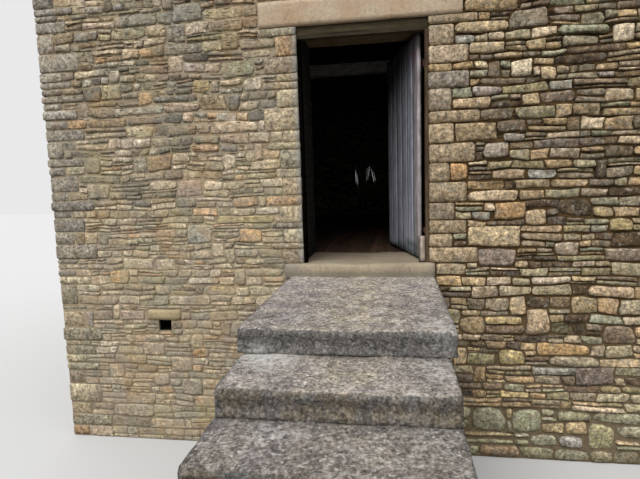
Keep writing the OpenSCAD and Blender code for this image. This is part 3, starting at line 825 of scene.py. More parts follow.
    def lay(self, quad, look, tall):
        """Keeps one stone, or splits its place into two or three thin ones."""
        height = (quad[3][1] + quad[2][1] - quad[0][1] - quad[1][1]) / 2
        length = (quad[1][0] + quad[2][0] - quad[0][0] - quad[3][0]) / 2
        if height < LEAST_HEIGHT or length < LEAST_LENGTH:
            return
        if not tall and height > look["split_from"] and self.rng.random() < look["split"]:
            t = self.rng.uniform(0.36, 0.64)
            left = quad[0][1] + t * (quad[3][1] - quad[0][1])
            right = quad[1][1] + (t + self.rng.uniform(-0.08, 0.08)) * (quad[2][1] - quad[1][1])
            halves = [[quad[0], quad[1], [quad[2][0], right], [quad[3][0], left]],
                      [[quad[3][0], left], [quad[2][0], right], quad[2], quad[3]]]
            if length > 0.2 and self.rng.random() < 0.5:
                one = halves.pop(self.rng.randrange(2))
                s = self.rng.uniform(0.35, 0.65)
                low = [one[0][j] + s * (one[1][j] - one[0][j]) for j in range(2)]
                top = [one[3][j] + s * (one[2][j] - one[3][j]) for j in range(2)]
                halves += [[one[0], low, top, one[3]], [low, one[1], one[2], top]]
            for half in halves:
                self.keep(half, look)
            return
        self.keep(quad, look)

    def keep(self, quad, look):
        """Keeps one stone: its tone, its corners drawn in from its place, and how it is cut."""
        uniform = self.rng.uniform
        tones, weights = zip(*look["tones"])
        tone = np.array(colour_of(self.rng.choices(tones, weights)[0]))
        tone *= uniform(*look["vary"]) * look["bright"]
        set_back = self.rng.random() < look["shy"]
        # A stone that is set back is dimmed with painted shade
        tone *= SET_BACK_SHADE if set_back else 1.0
        # Pale stones are greyer, and none is nearly white
        tone[2] *= 1 + 0.45 * max(0.0, tone.mean() - 0.3)
        tone *= min(1.0, PALEST / tone.max())
        height = quad[3][1] - quad[0][1]
        ways = ((1, 1), (-1, 1), (-1, -1), (1, -1))
        quad = [[p[0] + uniform(-2, 5) * MM * way[0], p[1] + uniform(-0.02, 0.08) * height * way[1]]
                for p, way in zip(quad, ways)]
        self.stones.append({
            "quad": quad, "tone": tone * [uniform(0.98, 1.05), 1.0, uniform(0.90, 1.0)],
            "gap": look["gap"] * uniform(0.7, 1.35),
            "proud": look["proud"] * (0.32 if set_back else uniform(0.45, 1.45)),
            "sink": look["proud"] * self.sunk,
            "dome": look["dome"],
            "square": uniform(*look["square"]), "round": look["round"] * uniform(0.7, 1.3)})

    def meshes(self, groups):
        """Builds the stones of each named group: (name, test of a stone's middle)."""
        draw = np.random.default_rng(self.seed * 100 + 3)
        for name, test in groups:
            chosen = [s for s in self.stones if test(*np.mean(s["quad"], axis=0))]
            if chosen:
                points, rim, flip = self.cut(chosen, draw)
                tones = np.clip([s["tone"] for s in chosen], 0, 1)
                usual = MATERIALS["jamb" if self.face.startswith("reveal") else "stone"]
                piece(name, joined(name, STONE[2], points, tones, flip=flip, shade=rim),
                      MATERIALS.get(name, usual))

    def cut(self, chosen, draw):
        """The points of stones, the painted light and shade of each point of the shape, and whether the faces
        turn over.
        The shape's rings are its root, its rim at the joint, its shoulder and its face."""
        axis, at, out = FACES[self.face]
        angle, ring, _ = STONE
        quad = np.array([s["quad"] for s in chosen])
        gap, proud, square, rounding, sink, dome = (
            np.array([s[key] for s in chosen])[:, None]
            for key in ("gap", "proud", "square", "round", "sink", "dome"))
        n = len(chosen)
        length = (quad[:, 1, 0] + quad[:, 2, 0] - quad[:, 0, 0] - quad[:, 3, 0])[:, None] / 4
        height = (quad[:, 2, 1] + quad[:, 3, 1] - quad[:, 0, 1] - quad[:, 1, 1])[:, None] / 4
        sides = np.rint(angle / (2 * math.pi) * STONE_SIDES * 2).astype(int) % (STONE_SIDES * 2)
        jitter = draw.normal(0, 1, (n, STONE_SIDES * 2))[:, sides]
        shift = draw.normal(0, 1, (2, n, len(angle)))
        # The outline: a rounded square, drawn in ring by ring, and laid between the place's corners
        across, up = np.cos(angle)[None, :], np.sin(angle)[None, :]
        across = np.sign(across) * np.abs(across) ** square
        up = np.sign(up) * np.abs(up) ** square
        inset = np.where(ring < 2, 0.0,
                         np.where(ring == 2, rounding, np.maximum(rounding * 1.4, 0.3 * height)))
        inset = np.minimum(inset, 0.8 * height) + gap / 2
        loose = 1 + 0.07 * jitter * np.minimum(1, 0.05 / height)
        u = np.clip(across * (1 - 0.65 * inset / length) * (1 + 0.03 * jitter), -1, 1)
        v = np.clip(up * (1 - inset / height) * loose, -1, 1)
        a, b = (1 + u) / 2, (1 + v) / 2
        shares = ((1 - a) * (1 - b), a * (1 - b), a * b, (1 - a) * b)
        plane = sum(quad[:, None, i] * part[..., None] for i, part in enumerate(shares))
        plane = self.warp(plane)
        # The depths: each face tilted a little and rough, and all of it back by the joints' depth
        tilt = draw.normal(0, 1, (2, n, 1)) * 0.18 * proud
        front = np.where(ring == 2, dome * proud, proud)
        depth = np.where(ring == 0, -ROOT, np.where(ring == 1, -RIM, front))
        depth = depth + np.where(ring > 1, tilt[0] * u + tilt[1] * v, 0)
        depth = depth + np.where(ring > 1, ROUGH * shift[0] * np.minimum(1, proud / 0.012), 0)
        depth = np.where(ring > 1, np.maximum(depth, 1.5 * MM), depth) - sink
        points = np.empty((n, len(angle), 3))
        along = 0 if axis == "X" else 1
        points[..., along] = plane[..., 0] + np.where(ring > 1, 1.2 * MM * shift[1], 0)
        points[..., 1 - along] = at + out * depth
        points[..., 2] = np.maximum(plane[..., 1], MM)
        # Painted light and shade: each stone paler at its top and darker at its foot, as lit from above; its
        # root and rim at the joint darker, partly dirt in the joints and partly painted shade
        shoulder, face = 0.92 + 0.16 * np.sin(angle), 1 + 0.05 * np.sin(angle)
        rim = np.where(ring < 2, 0.45, np.where(ring == 2, shoulder, face))
        return points, rim, out > 0 if axis == "X" else out < 0


def course_beds(settings, rng):
    """Heights of the beds, from the ground to the ridge, with beds at the sill, landing and lintel."""
    beds = [0.0]
    for mark in (settings.foot_top, LANDING_Z, SILL_Z, HEAD_Z, LINTEL_TOP, EAVES_Z, APEX_Z):
        span = mark - beds[-1]
        heights = []
        while sum(heights) < span - 20 * MM:
            if mark <= settings.foot_top:
                heights.append(settings.foot_course * rng.uniform(0.88, 1.12))
            else:
                heights.append(rng.uniform(settings.course_low, settings.course_high))
        if len(heights) > 1 and sum(heights) - span > heights[-1] * 0.5:
            heights.pop()
        factor = span / sum(heights)
        for h in heights:
            beds.append(beds[-1] + h * factor)
        beds[-1] = mark
    return beds


def corner_blocks(beds, z0, z1, rng, pair, long_range, short_range):
    """Groups of courses that one corner stone spans, with its two lengths, long and short by turns. Pair is
    the chance that a stone spans two courses."""
    levels = [z for z in beds if z0 - MM <= z <= z1 + MM]
    groups, i, turn = [], 0, rng.random() < 0.5
    while i < len(levels) - 1:
        low_enough = i + 2 < len(levels) and levels[i + 2] - levels[i] < HIGHEST_BLOCK
        step = 2 if low_enough and rng.random() < pair else 1
        a, b = rng.uniform(*long_range), rng.uniform(*short_range)
        groups.append((levels[i], levels[i + step], a if turn else b, b if turn else a))
        turn, i = not turn, i + step
    return groups


def block_points(lows, highs, radius, seed):
    """Points of rounded corner stones between low and high corners, slightly uneven."""
    points = CORNER[0]
    low, high = np.array(lows), np.array(highs)
    n = len(low)
    draw = np.random.default_rng(seed)
    # On how many faces of the cube each point lies: three at its corners, two at its edges, one within a face
    full = np.abs(points) > 0.99
    count = full.sum(1)
    pull = np.where(count == 3, 0.55, np.where(count == 2, 0.32, 0.0))[None, :, None]
    half = (high - low)[:, None, :] / 2
    r = np.minimum(radius * draw.uniform(0.7, 1.5, (n, 1, 1)), half * 0.6)
    reach = np.where(full[None], half - pull * r, half - r)
    swell = np.where((count == 1)[None, :, None] & full[None], draw.uniform(0, 4 * MM, (n, 1, 1)), 0)
    out = (high + low)[:, None, :] / 2 + np.sign(points)[None] * (reach + swell)
    out += draw.normal(0, 1.6 * MM, out.shape)
    out[..., 2] = np.maximum(out[..., 2], MM)
    return out


def blocks(name, lows, highs, tones, radius, seed, material):
    """Makes corner or jamb stones as one piece."""
    points = block_points(lows, highs, radius, seed)
    mesh = joined(name, CORNER[1], points, np.clip(tones, 0, 1))
    piece(name, mesh, material)


def corner_shape():
    """A cube from -1 to 1 whose faces are cut in nine."""
    bm = bmesh.new()
    bmesh.ops.create_cube(bm, size=2)
    bmesh.ops.subdivide_edges(bm, edges=list(bm.edges), cuts=2, use_grid_fill=True)
    return shape_of(bm)


def joint_depth(foot, eaves, z):
    """How deep the joints are at a height."""
    return foot + (eaves - foot) * min(1.0, z / EAVES_Z)


def core(name, recess, material, sides=None):
    """A wall's core in place of its CAD node, set back behind the faces of its stones by two depths, at the
    ground and at the eaves. Each side is an axis, a place on it and which way is in."""
    sides = sides or ((0, -HALF_W, 1), (0, HALF_W, -1), (1, 0.0, 1), (1, DEPTH, -1))
    bm = bmesh.new()
    bm.from_mesh(frame["nodes"][name].data)
    bmesh.ops.remove_doubles(bm, verts=bm.verts, dist=0.01 * MM)
    for v in bm.verts:
        for axis, at, way in sides:
            if abs(v.co[axis] - at) < 0.5 * MM:
                v.co[axis] += way * joint_depth(*recess, v.co.z)
    piece(name + "_mortar", to_mesh(name + "_mortar", bm, smooth=False), material,
          replaces=(name,))


STONE = stone_shape(STONE_SIDES)
CORNER = corner_shape()
MATERIALS = {}


def look(tones, gap, proud, split, tall, aspect, square=(0.2, 0.5), rounding=6, dome=0.7, bright=1.0,
         vary=(0.76, 1.26), shy=0.0):
    """How a stretch of wall is laid. Split, tall and shy (set back) are chances, aspect is length by height,
    square is how square the outlines are, dome is how far out a stone's shoulder comes, and bright and vary
    are for its tones."""
    return {"tones": tones, "gap": gap, "proud": proud, "split": split, "tall": tall, "aspect": aspect,
            "square": square, "round": rounding * MM, "dome": dome, "bright": bright, "vary": vary,
            "shy": shy, "split_from": (50 if split > 0.4 else 64) * MM}


def tone_from(rng, palette):
    tones, weights = zip(*palette)
    return np.array(colour_of(rng.choices(tones, weights)[0])) * rng.uniform(0.85, 1.15)


def box_rect(node, axis, grow=6 * MM):
    """A node's rectangle on a face, a little wider, as an opening in the rubble."""
    low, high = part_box(node)
    return (low[axis] - grow, high[axis] + grow, low.z - grow, high.z + grow)


def block_rects(groups, at, way, which):
    """The places on a face of the corner stones that start at one edge and run one way."""
    return [(*sorted((at - 0.05 * way, at + way * g[2 + which])), g[0], g[1]) for g in groups]


class Masonry:
    """The beds, corner stones and jamb stones that the faces share. The same settings give the same ones."""

    def __init__(self, settings):
        rng = random.Random(settings.seed)
        self.beds = course_beds(settings, rng)
        self.corner = {key: corner_blocks(self.beds, 0, EAVES_Z, rng, 0.45, (0.30, 0.44), (0.17, 0.25))
                       for key in ("front_left", "front_right", "back_left", "back_right")}
        self.jamb = {"left": corner_blocks(self.beds, SILL_Z, HEAD_Z, rng, 0.4, (0.20, 0.34), (0.13, 0.20)),
                     "right": corner_blocks(self.beds, SILL_Z, HEAD_Z, rng, 0.75, (0.26, 0.42), (0.16, 0.24))}

    def courses(self):
        beds = self.beds
        for k in range(len(beds) - 1):
            yield k, beds[k], beds[k + 1], beds[k + 2] if k + 2 < len(beds) else None


# Heights at which the wall's look changes: where the left half gets rougher, where it is lighter below, and
# how far under the sill the right half is lighter
ROUGH_FROM = 2.75
LIGHT_BELOW = 2.1
LIGHT_UNDER_SILL = 0.15
# From here on to the right, the stones over the doorway are laid as those of the right half
OVER_DOOR_SPLIT = -0.2


def front_look(settings):
    """How the front is laid: washed out on the right, with a foot of round stones, smeared on the left."""
    def style(x, z):
        if x > HALF_DOOR or (x > OVER_DOOR_SPLIT and z > LINTEL_TOP):
            joint = settings.joint_right
            deep = joint_depth(settings.foot_right, settings.proud_right, z)
            if z < settings.foot_top:
                return look(FOOT_WALL, joint, deep, 0.1, 0.05, 2.0, (0.4, 0.7), 12, dome=0.66, bright=1.34,
                            vary=(0.8, 1.2))
            low = z < SILL_Z - LIGHT_UNDER_SILL
            return look(BARE_WALL, joint, deep, 0.24, 0.22, 2.6, (0.06, 0.4), 5, dome=0.74,
                        bright=1.3 if low else 1.1, vary=(0.76, 1.28), shy=0.07 if low else 0.1)
        joint = settings.joint_left
        deep = joint_depth(settings.foot_left, settings.proud_left, z)
        if z > ROUGH_FROM:
            return look(BUFF_TOP, joint * 1.5, deep * 1.25, 0.34, 0.2, 2.0, (0.06, 0.45), 5, dome=0.74,
                        bright=1.14, vary=(0.44, 1.7), shy=0.08)
        return look(BUFF_WALL, joint, deep, 0.5, 0.1, 2.2, (0.08, 0.5), 4, dome=0.8,
                    bright=1.3 if z < LIGHT_BELOW else 1.2, vary=(0.6, 1.42))
    return style


def plain_look(settings):
    """How the sides and the back are laid: between the two halves of the front."""
    joint = (settings.joint_left + settings.joint_right) / 2
    proud = (settings.proud_left + settings.proud_right) / 2

    def style(u, z):
        tones = FOOT_WALL if z < settings.foot_top * 0.6 else MIXED_WALL
        return look(tones, joint, proud, 0.26, 0.2, 2.6, (0.08, 0.45), 5, dome=0.76, bright=1.12,
                    vary=(0.72, 1.32))
    return style


class BARN_OT_wall_materials(bpy.types.Operator):
    """Makes the stone and mortar materials and dresses the walls' cores with mortar"""
    bl_idname = "barn.wall_materials"
    bl_label = "Wall Materials"

    def execute(self, context):
        settings = context.scene.barn_masonry
        MATERIALS["stone"] = rubble_stone_material("sandstone split by hand and weathered")
        # The jamb stones' material paints shade on the doorway's cheeks
        MATERIALS["jamb"] = rubble_stone_material("sandstone split by hand with painted shade inside", reveal=True)
        MATERIALS["stones_front_left"] = rubble_stone_material("sandstone smeared with lime", smeared=True)
        MATERIALS["dressed"] = dressed_stone_material("sandstone tooled flat", "#baab95", "#ae9478",
                                                      (0.3, 0.52))
        flush = mortar_material("lime mortar trowelled flush", settings.mortar_left, "#ada089", "#33291d",
                                0.04, 0.45)
        bare = mortar_material("earth mortar washed out", settings.mortar_right, "#5a462b", "#1c150d", 0.1)
        side = mortar_material("lime mortar weathered back", settings.mortar_other, "#85785f", "#2f261b",
                               0.05)
        middling = ((settings.proud_left + settings.proud_right) / 2,) * 2
        left = (settings.foot_left, settings.proud_left)
        right = (settings.foot_right, settings.proud_right)
        core("front_wall_left", left, flush)
        core("front_wall_under_door", left, flush)
        core("front_wall_over_door", right, flush)
        core("front_wall_right", right, bare)
        core("front_gable", right, side)
        for name in ("back_gable", "back_wall", "left_wall", "right_wall"):
            core(name, middling, side)
        low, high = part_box("stair_core")
        core("stair_core", (STAIR_PROUD,) * 2, side,
             ((0, low.x, 1), (0, high.x, -1), (1, low.y, 1), (1, high.y, 1)))
        return {"FINISHED"}


# The vent hole's sides and its height
VENT_SIDES = (-1.985, -1.845)
VENT_HEIGHT = 0.115


class BARN_OT_front_masonry(bpy.types.Operator):
    """Lays the stones of the front wall and its gable"""
    bl_idname = "barn.front_masonry"
    bl_label = "Front Masonry"

    def execute(self, context):
        settings = context.scene.barn_masonry
        shared = Masonry(settings)
        stairs, vent_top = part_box("stair_core"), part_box("vent_lintel")[0].z
        openings = [(-HALF_DOOR, HALF_DOOR, SILL_Z - MM, HEAD_Z + MM),
                    box_rect("stone_lintel", 0), box_rect("threshold", 0), box_rect("landing", 0),
                    (stairs[0].x, stairs[1].x, -1.0, LANDING_Z), box_rect("vent_lintel", 0),
                    (*VENT_SIDES, vent_top - VENT_HEIGHT, vent_top)]
        for groups, at, way in ((shared.corner["front_left"], -HALF_W, 1),
                                (shared.corner["front_right"], HALF_W, -1),
                                (shared.jamb["left"], -HALF_DOOR, -1), (shared.jamb["right"], HALF_DOOR, 1)):
            openings += block_rects(groups, at, way, 0)
        wall = Wall("front", -HALF_W, HALF_W, openings, random.Random(settings.seed + 1), 2)
        wall.set_noted(shared.beds, NOTED, front_look(settings))
        wall.lay_all(shared, front_look(settings))
        wall.meshes([
            ("stones_front_left", lambda x, z: z < EAVES_Z and x < -HALF_DOOR),
            ("stones_front_right", lambda x, z: z < EAVES_Z and x > HALF_DOOR),
            ("stones_under_door", lambda x, z: z < SILL_Z and abs(x) <= HALF_DOOR),
            ("stones_over_door", lambda x, z: SILL_Z <= z < EAVES_Z and abs(x) <= HALF_DOOR),
            ("stones_front_gable", lambda x, z: z >= EAVES_Z)])
        return {"FINISHED"}


class BARN_OT_jamb_masonry(bpy.types.Operator):
    """Lays the jamb stones of the doorway and the stones of its reveals"""
    bl_idname = "barn.jamb_masonry"
    bl_label = "Doorway Jambs"

    def execute(self, context):
        settings = context.scene.barn_masonry
        shared = Masonry(settings)
        rng = random.Random(settings.seed + 2)
        for side, name, proud, gap, radius, tones_here, inner_tones in (
                (-1, "left", settings.proud_left, 2.5 * MM, 12 * MM, BUFF_WALL, BUFF_WALL),
                (1, "right", settings.proud_right, 4.5 * MM, 13 * MM, JAMB_RIGHT, MIXED_WALL)):
            lows, highs, tones = [], [], []
            for z0, z1, a, b in shared.jamb[name]:
                inner, outer = HALF_DOOR - rng.uniform(1, 4) * MM, HALF_DOOR + a - gap
                xs = sorted((side * inner, side * outer))
                lows.append((xs[0], proud * rng.uniform(-0.3, 0.3), z0 + gap))
                highs.append((xs[1], b + 0.06, z1 - gap))
                tones.append(tone_from(rng, tones_here))
            blocks(f"jamb_stones_{name}", lows, highs, tones, radius, settings.seed + 20 + side,
                   MATERIALS["jamb"])
            reveal = Wall(f"reveal_{name}", 0.0, WALL_T, [], random.Random(settings.seed + 5 + side),
                          4 + side, 0.0)
            inside = look(inner_tones, 6 * MM, 3 * MM, 0.2, 0.0, 2.4)
            for k, z0, z1, _ in shared.courses():
                if SILL_Z - MM <= z0 and z1 <= HEAD_Z + MM:
                    beside = [b for low, high, a, b in shared.jamb[name] if low < (z0 + z1) / 2 < high]
                    ends = max(beside, default=0.0) + 0.065, WALL_T - 6 * MM
                    reveal.course(k, z0, z1, None, ends, lambda u, z: inside)
            reveal.meshes([(f"stones_reveal_{name}", lambda u, z: True)])
        return {"FINISHED"}


# Height from which the front's left corner is greyer
CORNER_TOP_FROM = 1.6
# The feet of the rafters on the side walls, between which the stones go up to the eaves
RAFTERS = 9
RAFTER_WIDTH = 75 * MM
RAFTER_END = 120 * MM
RAFTER_ROOM = 12 * MM


class BARN_OT_side_masonry(bpy.types.Operator):
    """Lays the stones of the sides, the back and its gable, and the corner stones"""
    bl_idname = "barn.side_masonry"
    bl_label = "Side and Back Masonry"

    def execute(self, context):
        settings = context.scene.barn_masonry
        shared = Masonry(settings)
        style = plain_look(settings)
        first, last = WALL_T + RAFTER_END, BACK_Y - RAFTER_END - RAFTER_WIDTH
        feet = []
        for i in range(RAFTERS):
            y = first + (last - first) * i / (RAFTERS - 1)
            feet.append((y - RAFTER_ROOM, y + RAFTER_WIDTH + RAFTER_ROOM, EAVES_Z - 0.14, EAVES_Z + 0.1))
        for name in ("left", "right"):
            rects = (feet + block_rects(shared.corner["front_" + name], 0.0, 1, 1)
                     + block_rects(shared.corner["back_" + name], DEPTH, -1, 1))
            wall = Wall(name, 0.0, DEPTH, rects, random.Random(settings.seed + 30 + len(name)), 6 + len(name))
            for k, z0, z1, z2 in shared.courses():
                if z0 < EAVES_Z - MM:
                    top = min(z1, EAVES_Z - 26 * MM)
                    above = z2 if z2 and z2 < EAVES_Z - 0.03 else None
                    wall.course(k, z0, top, above, (0.0, DEPTH), style)
            wall.meshes([(f"stones_{name}_side", lambda u, z: True)])
        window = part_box("back_window_slats")
        rects = [(window[0].x, window[1].x, window[0].z, window[1].z),
                 box_rect("back_window_lintel", 0), box_rect("back_window_sill", 0)]
        rects += (block_rects(shared.corner["back_left"], -HALF_W, 1, 0)
                  + block_rects(shared.corner["back_right"], HALF_W, -1, 0))
        back = Wall("back", -HALF_W, HALF_W, rects, random.Random(settings.seed + 40), 15)
        back.lay_all(shared, style)
        back.meshes([("stones_back", lambda x, z: z < EAVES_Z),
                     ("stones_back_gable", lambda x, z: z >= EAVES_Z)])
        self.corners(settings, shared)
        return {"FINISHED"}

    def corners(self, settings, shared):
        """Makes the corner stones."""
        rng = random.Random(settings.seed + 50)
        gap = 4 * MM
        for key, groups in shared.corner.items():
            lows, highs, tones = [], [], []
            for z0, z1, a, b in groups:
                out_x, out_y = rng.uniform(-6, 8) * MM, rng.uniform(-6, 8) * MM
                x = sorted((HALF_W + out_x, HALF_W - a + gap))
                if key.endswith("left"):
                    x = [-x[1], -x[0]]
                y = [-out_y, b - gap] if key.startswith("front") else [DEPTH - b + gap, DEPTH + out_y]
                lows.append((x[0], y[0], z0 + gap))
                highs.append((x[1], y[1], min(z1 - gap, EAVES_Z - 34 * MM)))
                palette = CORNER_TOP if z0 > CORNER_TOP_FROM else BUFF_WALL
                tones.append(tone_from(rng, palette if key == "front_left" else MIXED_WALL))
            blocks(f"corner_stones_{key}", lows, highs, tones, 14 * MM, settings.seed + 60 + len(key),
                   MATERIALS["stone"])


class BARN_OT_stair_masonry(bpy.types.Operator):
    """Lays the stones of the rubble core under the steps"""
    bl_idname = "barn.stair_masonry"
    bl_label = "Stair Masonry"

    def execute(self, context):
        settings = context.scene.barn_masonry
        shared = Masonry(settings)
        low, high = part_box("stair_core")
        joint = (settings.joint_left + settings.joint_right) / 2
        style_here = look(STAIR_WALL, joint, STAIR_PROUD, 0.2, 0.1, 2.6)
        # Nothing is laid over the foot of any step
        above = []
        for name in STEPS:
            step_low, step_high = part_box(name)
            above.append((step_low.y - 0.01, step_high.y + 0.01, step_low.z - 4 * MM, 9.0))
        for side, name in ((-1, "left"), (1, "right")):
            face = f"stairs_{name}"
            FACES[face] = ("Y", low.x if side < 0 else high.x, side)
            wall = Wall(face, low.y, 0.0, above, random.Random(settings.seed + 70 + side), 21 + side)
            for k, z0, z1, z2 in shared.courses():
                if z0 < high.z - THIN:
                    wall.course(k, z0, z1, z2, (low.y + 8 * MM, -35 * MM), lambda u, z: style_here)
            wall.meshes([(f"stones_{face}", lambda u, z: True)])
        return {"FINISHED"}


# How far the threshold goes down behind the landing's worn edge
INTO_LANDING = 25 * MM


class BARN_OT_dressed_stones(bpy.types.Operator):
    """Makes the lintel, threshold, vent stone and the back window's lintel and sill"""
    bl_idname = "barn.dressed_stones"
    bl_label = "Dressed Stones"

    def execute(self, context):
        worn = dressed_stone_material("sandstone worn by feet", "#a29680", "#8e816d", (0.1, 0.98), 0.25, True)
        rough = dressed_stone_material("sandstone split and pale", "#b7a684", "#a39273", (0.1, 0.2))
        # Node, and in millimetres: how far it comes out at the front and at the back, the radius of its
        # edges, its lumps, and how deep its top is worn
        rows = (("stone_lintel", 6, 0, 10, 3, 0), ("threshold", 0, 0, 16, 4, 10),
                ("vent_lintel", 6, 0, 14, 5, 0), ("back_window_lintel", 0, 8, 12, 4, 0),
                ("back_window_sill", 0, 16, 12, 4, 0))
        for i, (name, front, back, radius, swell, hollow) in enumerate(rows):
            low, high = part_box(name)
            low.y -= front * MM
            high.y += back * MM
            if name == "threshold":
                low.z -= INTO_LANDING
            bm = dressed_block(low, high, 34 * MM, radius * MM, swell * MM, 31 + i, hollow * MM)
            mesh = to_mesh(name + "_stone", bm)
            material = {"threshold": worn, "vent_lintel": rough}.get(name, MATERIALS["dressed"])
            piece(name + "_stone", mesh, material, replaces=(name,))
        return {"FINISHED"}


# Steps

# Patches of lichen on the steps: the step's node, and for each patch its place as shares across, back from
# the nose and down the riser, its reach in metres and its strength
LICHEN = {
    "landing": ((0.95, 0.06, 0.0, 0.24, 0.8), (0.25, 0.15, 0.0, 0.25, 0.35), (0.1, 0.0, 1.0, 0.16, 0.8),
                (0.55, 0.1, 0.0, 0.3, 0.2)),
    "step_01": ((0.13, 0.9, 0.0, 0.3, 1.7), (0.95, 0.6, 0.0, 0.22, 0.7), (0.10, 0.4, 0.0, 0.25, 0.15),
                (0.8, 0.0, 0.2, 0.2, 0.45)),
    "step_02": ((0.25, 0.6, 0.0, 0.22, 0.5), (0.12, 0.3, 0.0, 0.2, 0.4), (0.6, 0.3, 0.0, 0.3, 0.3),
                (0.93, 0.7, 0.0, 0.2, 0.4)),
}
# How far the landing goes on under the threshold
UNDER_THRESHOLD = 30 * MM
# How bright the treads are, from the landing down
TREAD_LEVELS = (1.0, 0.97, 0.72)
# How far a nose reaches back and down, and how much of a step's height it may take
NOSE_REACH = 0.09
NOSE_SHARE = 0.45
# Where feet walk: how far right of the middle and how far to both sides, and how deep they have worn it
WALK_PLACE, WALK_REACH, WALK_WEAR = 0.05, 0.30, 9 * MM
# How far a riser is hollowed, and how far its foot comes out
RISER_HOLLOW, RISER_TOE = 20 * MM, 14 * MM
# How far from the step above the tread is darkened with painted shade
BACK_SHADE = 0.19


def cast_step(low, high, settings, seed, patches, level):
    """A rough concrete step: worn nose, uneven tread, riser hollowed above its foot, and its marks, which are
    its moss with painted shade at the back of a lower tread, its lichen and wear, and how bright it is."""
    cell = settings.cell
    bm = gridded_box(low, high, (cell, cell, cell * 0.8))
    marks = bm.verts.layers.float_color.new("marks")
    height = high.z - low.z
    middle = (low.x + high.x) / 2
    for v in bm.verts:
        place = v.co.copy()
        front, down = place.y - low.y, high.z - place.z
        up = 1 - down / height
        nose = max(0.0, 1 - front / NOSE_REACH) * max(0.0, 1 - down / NOSE_REACH)
        chip = max(0.0, lumpy(Vector((place.x, 0, 0)), 120, seed) - 0.1)
        wear = 0.4 + 0.6 * nose * (1 + 0.5 * lumpy(place, 90, seed)) + 0.9 * nose * chip
        new, out = rounded(place, low, high, min(settings.nose_wear * wear, height * NOSE_SHARE))
        coarse = 6 * MM * lumpy(place, 230, seed) + 4 * MM * lumpy(place, 75, seed + 2)
        fine = 3.4 * MM * lumpy(place, 34, seed + 4)
        hidden = place.y > high.y - 1e-6 or place.z < low.z + 1e-6
        if not hidden:
            new += out * (coarse + fine)
        top, face = max(0.0, out.z), max(0.0, -out.y)
        walked = math.exp(-((place.x - middle - WALK_PLACE) / WALK_REACH) ** 2)
        new.z -= top * WALK_WEAR * walked * max(0.2, 1 - front / 0.5)
        hollow = face * math.sin(math.pi * share(up * 1.25)) ** 1.5
        new.y += RISER_HOLLOW * hollow * (0.7 + 0.6 * lumpy(Vector((place.x, 0, 9)), 260, seed))
        toe = face * max(0.0, 1 - up / 0.3) ** 2
        new.y -= RISER_TOE * toe * (1 + 0.4 * lumpy(Vector((place.x, 0, 3)), 150, seed))
        new.z = max(new.z, low.z)
        v.co = new
        on_side = min(place.x - low.x, high.x - place.x) < 0.01
        moss = face * (0.7 + 0.3 * min(1.0, up * 3)) + 0.55 * (1 if on_side else 0)
        # Painted shade at the back of a lower tread, under the step above, drawn with the moss
        back = max(0.0, 1 - (high.y - place.y) / BACK_SHADE) * top * (level < 1)
        bright = level + (0.3 * share((front - 0.55) / 0.7) if level == 1 else 0)
        lichen = 0.0
        for across, behind, below, reach, strength in patches:
            away = math.hypot(place.x - low.x - across * (high.x - low.x),
                              front - behind * (high.y - low.y), down - below * height)
            lichen = max(lichen, strength * max(0.0, 1 - away / reach))
        worn = top * walked * (2 * level - 1) + face * (level < 1)
        v[marks] = (share(moss + 0.75 * back), lichen, worn, bright / BRIGHTEST)
    return bm


class BARN_OT_concrete_steps(bpy.types.Operator):
    """Casts the landing and the steps"""
    bl_idname = "barn.concrete_steps"
    bl_label = "Concrete Steps"

    def execute(self, context):
        settings = context.scene.barn_steps
        material = step_concrete_material(settings)
        for i, name in enumerate(STEPS):
            low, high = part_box(name)
            if name == "landing":
                high.y += UNDER_THRESHOLD
            rng = random.Random(90 + i)
            some = tuple((rng.uniform(0, 1), rng.uniform(0, 1), 0.0, rng.uniform(0.15, 0.3),
                          rng.uniform(0.3, 0.8)) for _ in range(4))
            level = TREAD_LEVELS[min(i, len(TREAD_LEVELS) - 1)]
            bm = cast_step(low, high, settings, 41 + 3 * i, LICHEN.get(name, some), level)
            made = to_mesh(name + "_concrete", bm)
            piece(name + "_concrete", made, material, replaces=(name,))
        return {"FINISHED"}


# Wood and iron

# Tones of the door's boards, from its free edge to its hinges
DOOR_TONES = (1.10, 1.25, 1.02, 0.95, 1.35, 0.98)
# Half the gap between two of them, the radius of their edges, and the grid of their points
BOARD_GAP, BOARD_EDGE = 1.6 * MM, 3.5 * MM
BOARD_GRID = (0.045, 0.014, 0.05)


def door_tone(place, low, high, tone):
    """The colour of a point of the shut door: painted shade of the lintel high up at its free edge, darker
    and greener in a wedge at its foot, streaked, and bare and pinkish by its hinges."""
    near = (place.x - low.x) / (high.x - low.x)
    fall = (high.z - place.z) / (high.z - low.z)
    # A darker, greener wedge along its foot, taller towards the hinges
    under = 0.15 * near + 0.012 - (place.z - low.z)
    foot_wedge = 1 - 0.66 * share(under / 0.012) + 0.16 * share(under / 0.05 - 0.4)
    # Painted shade of the lintel's shadow, over the top of the door and deeper towards its free edge
    painted_shade = 1 - 0.88 * share(0.5 + ((1 - near) * 0.26 - fall) / 0.16)
    ragged = 1 + 2 * lumpy(Vector((0, 0, place.z)), 130, 3)
    worn = 1 + 0.35 * max(0.0, near - 0.93) / 0.07 * ragged
    worn *= 1 + 0.24 * lumpy(Vector((place.x, 0, place.z * 0.4)), 110, 8)
    pink = max(0.0, 1 - abs(near - 0.9) / 0.1) * max(0.0, 1 - abs(fall - 0.085) / 0.03)
    bare = share((near - 0.84) / 0.08)
    shade = tone * foot_wedge * painted_shade * worn
    return (shade * (1 + 0.5 * pink + 0.1 * bare), shade * (1 - 0.25 * pink) * foot_wedge ** -0.2,
            shade * foot_wedge ** -0.12 * (1 - 0.14 * bare), 1.0)


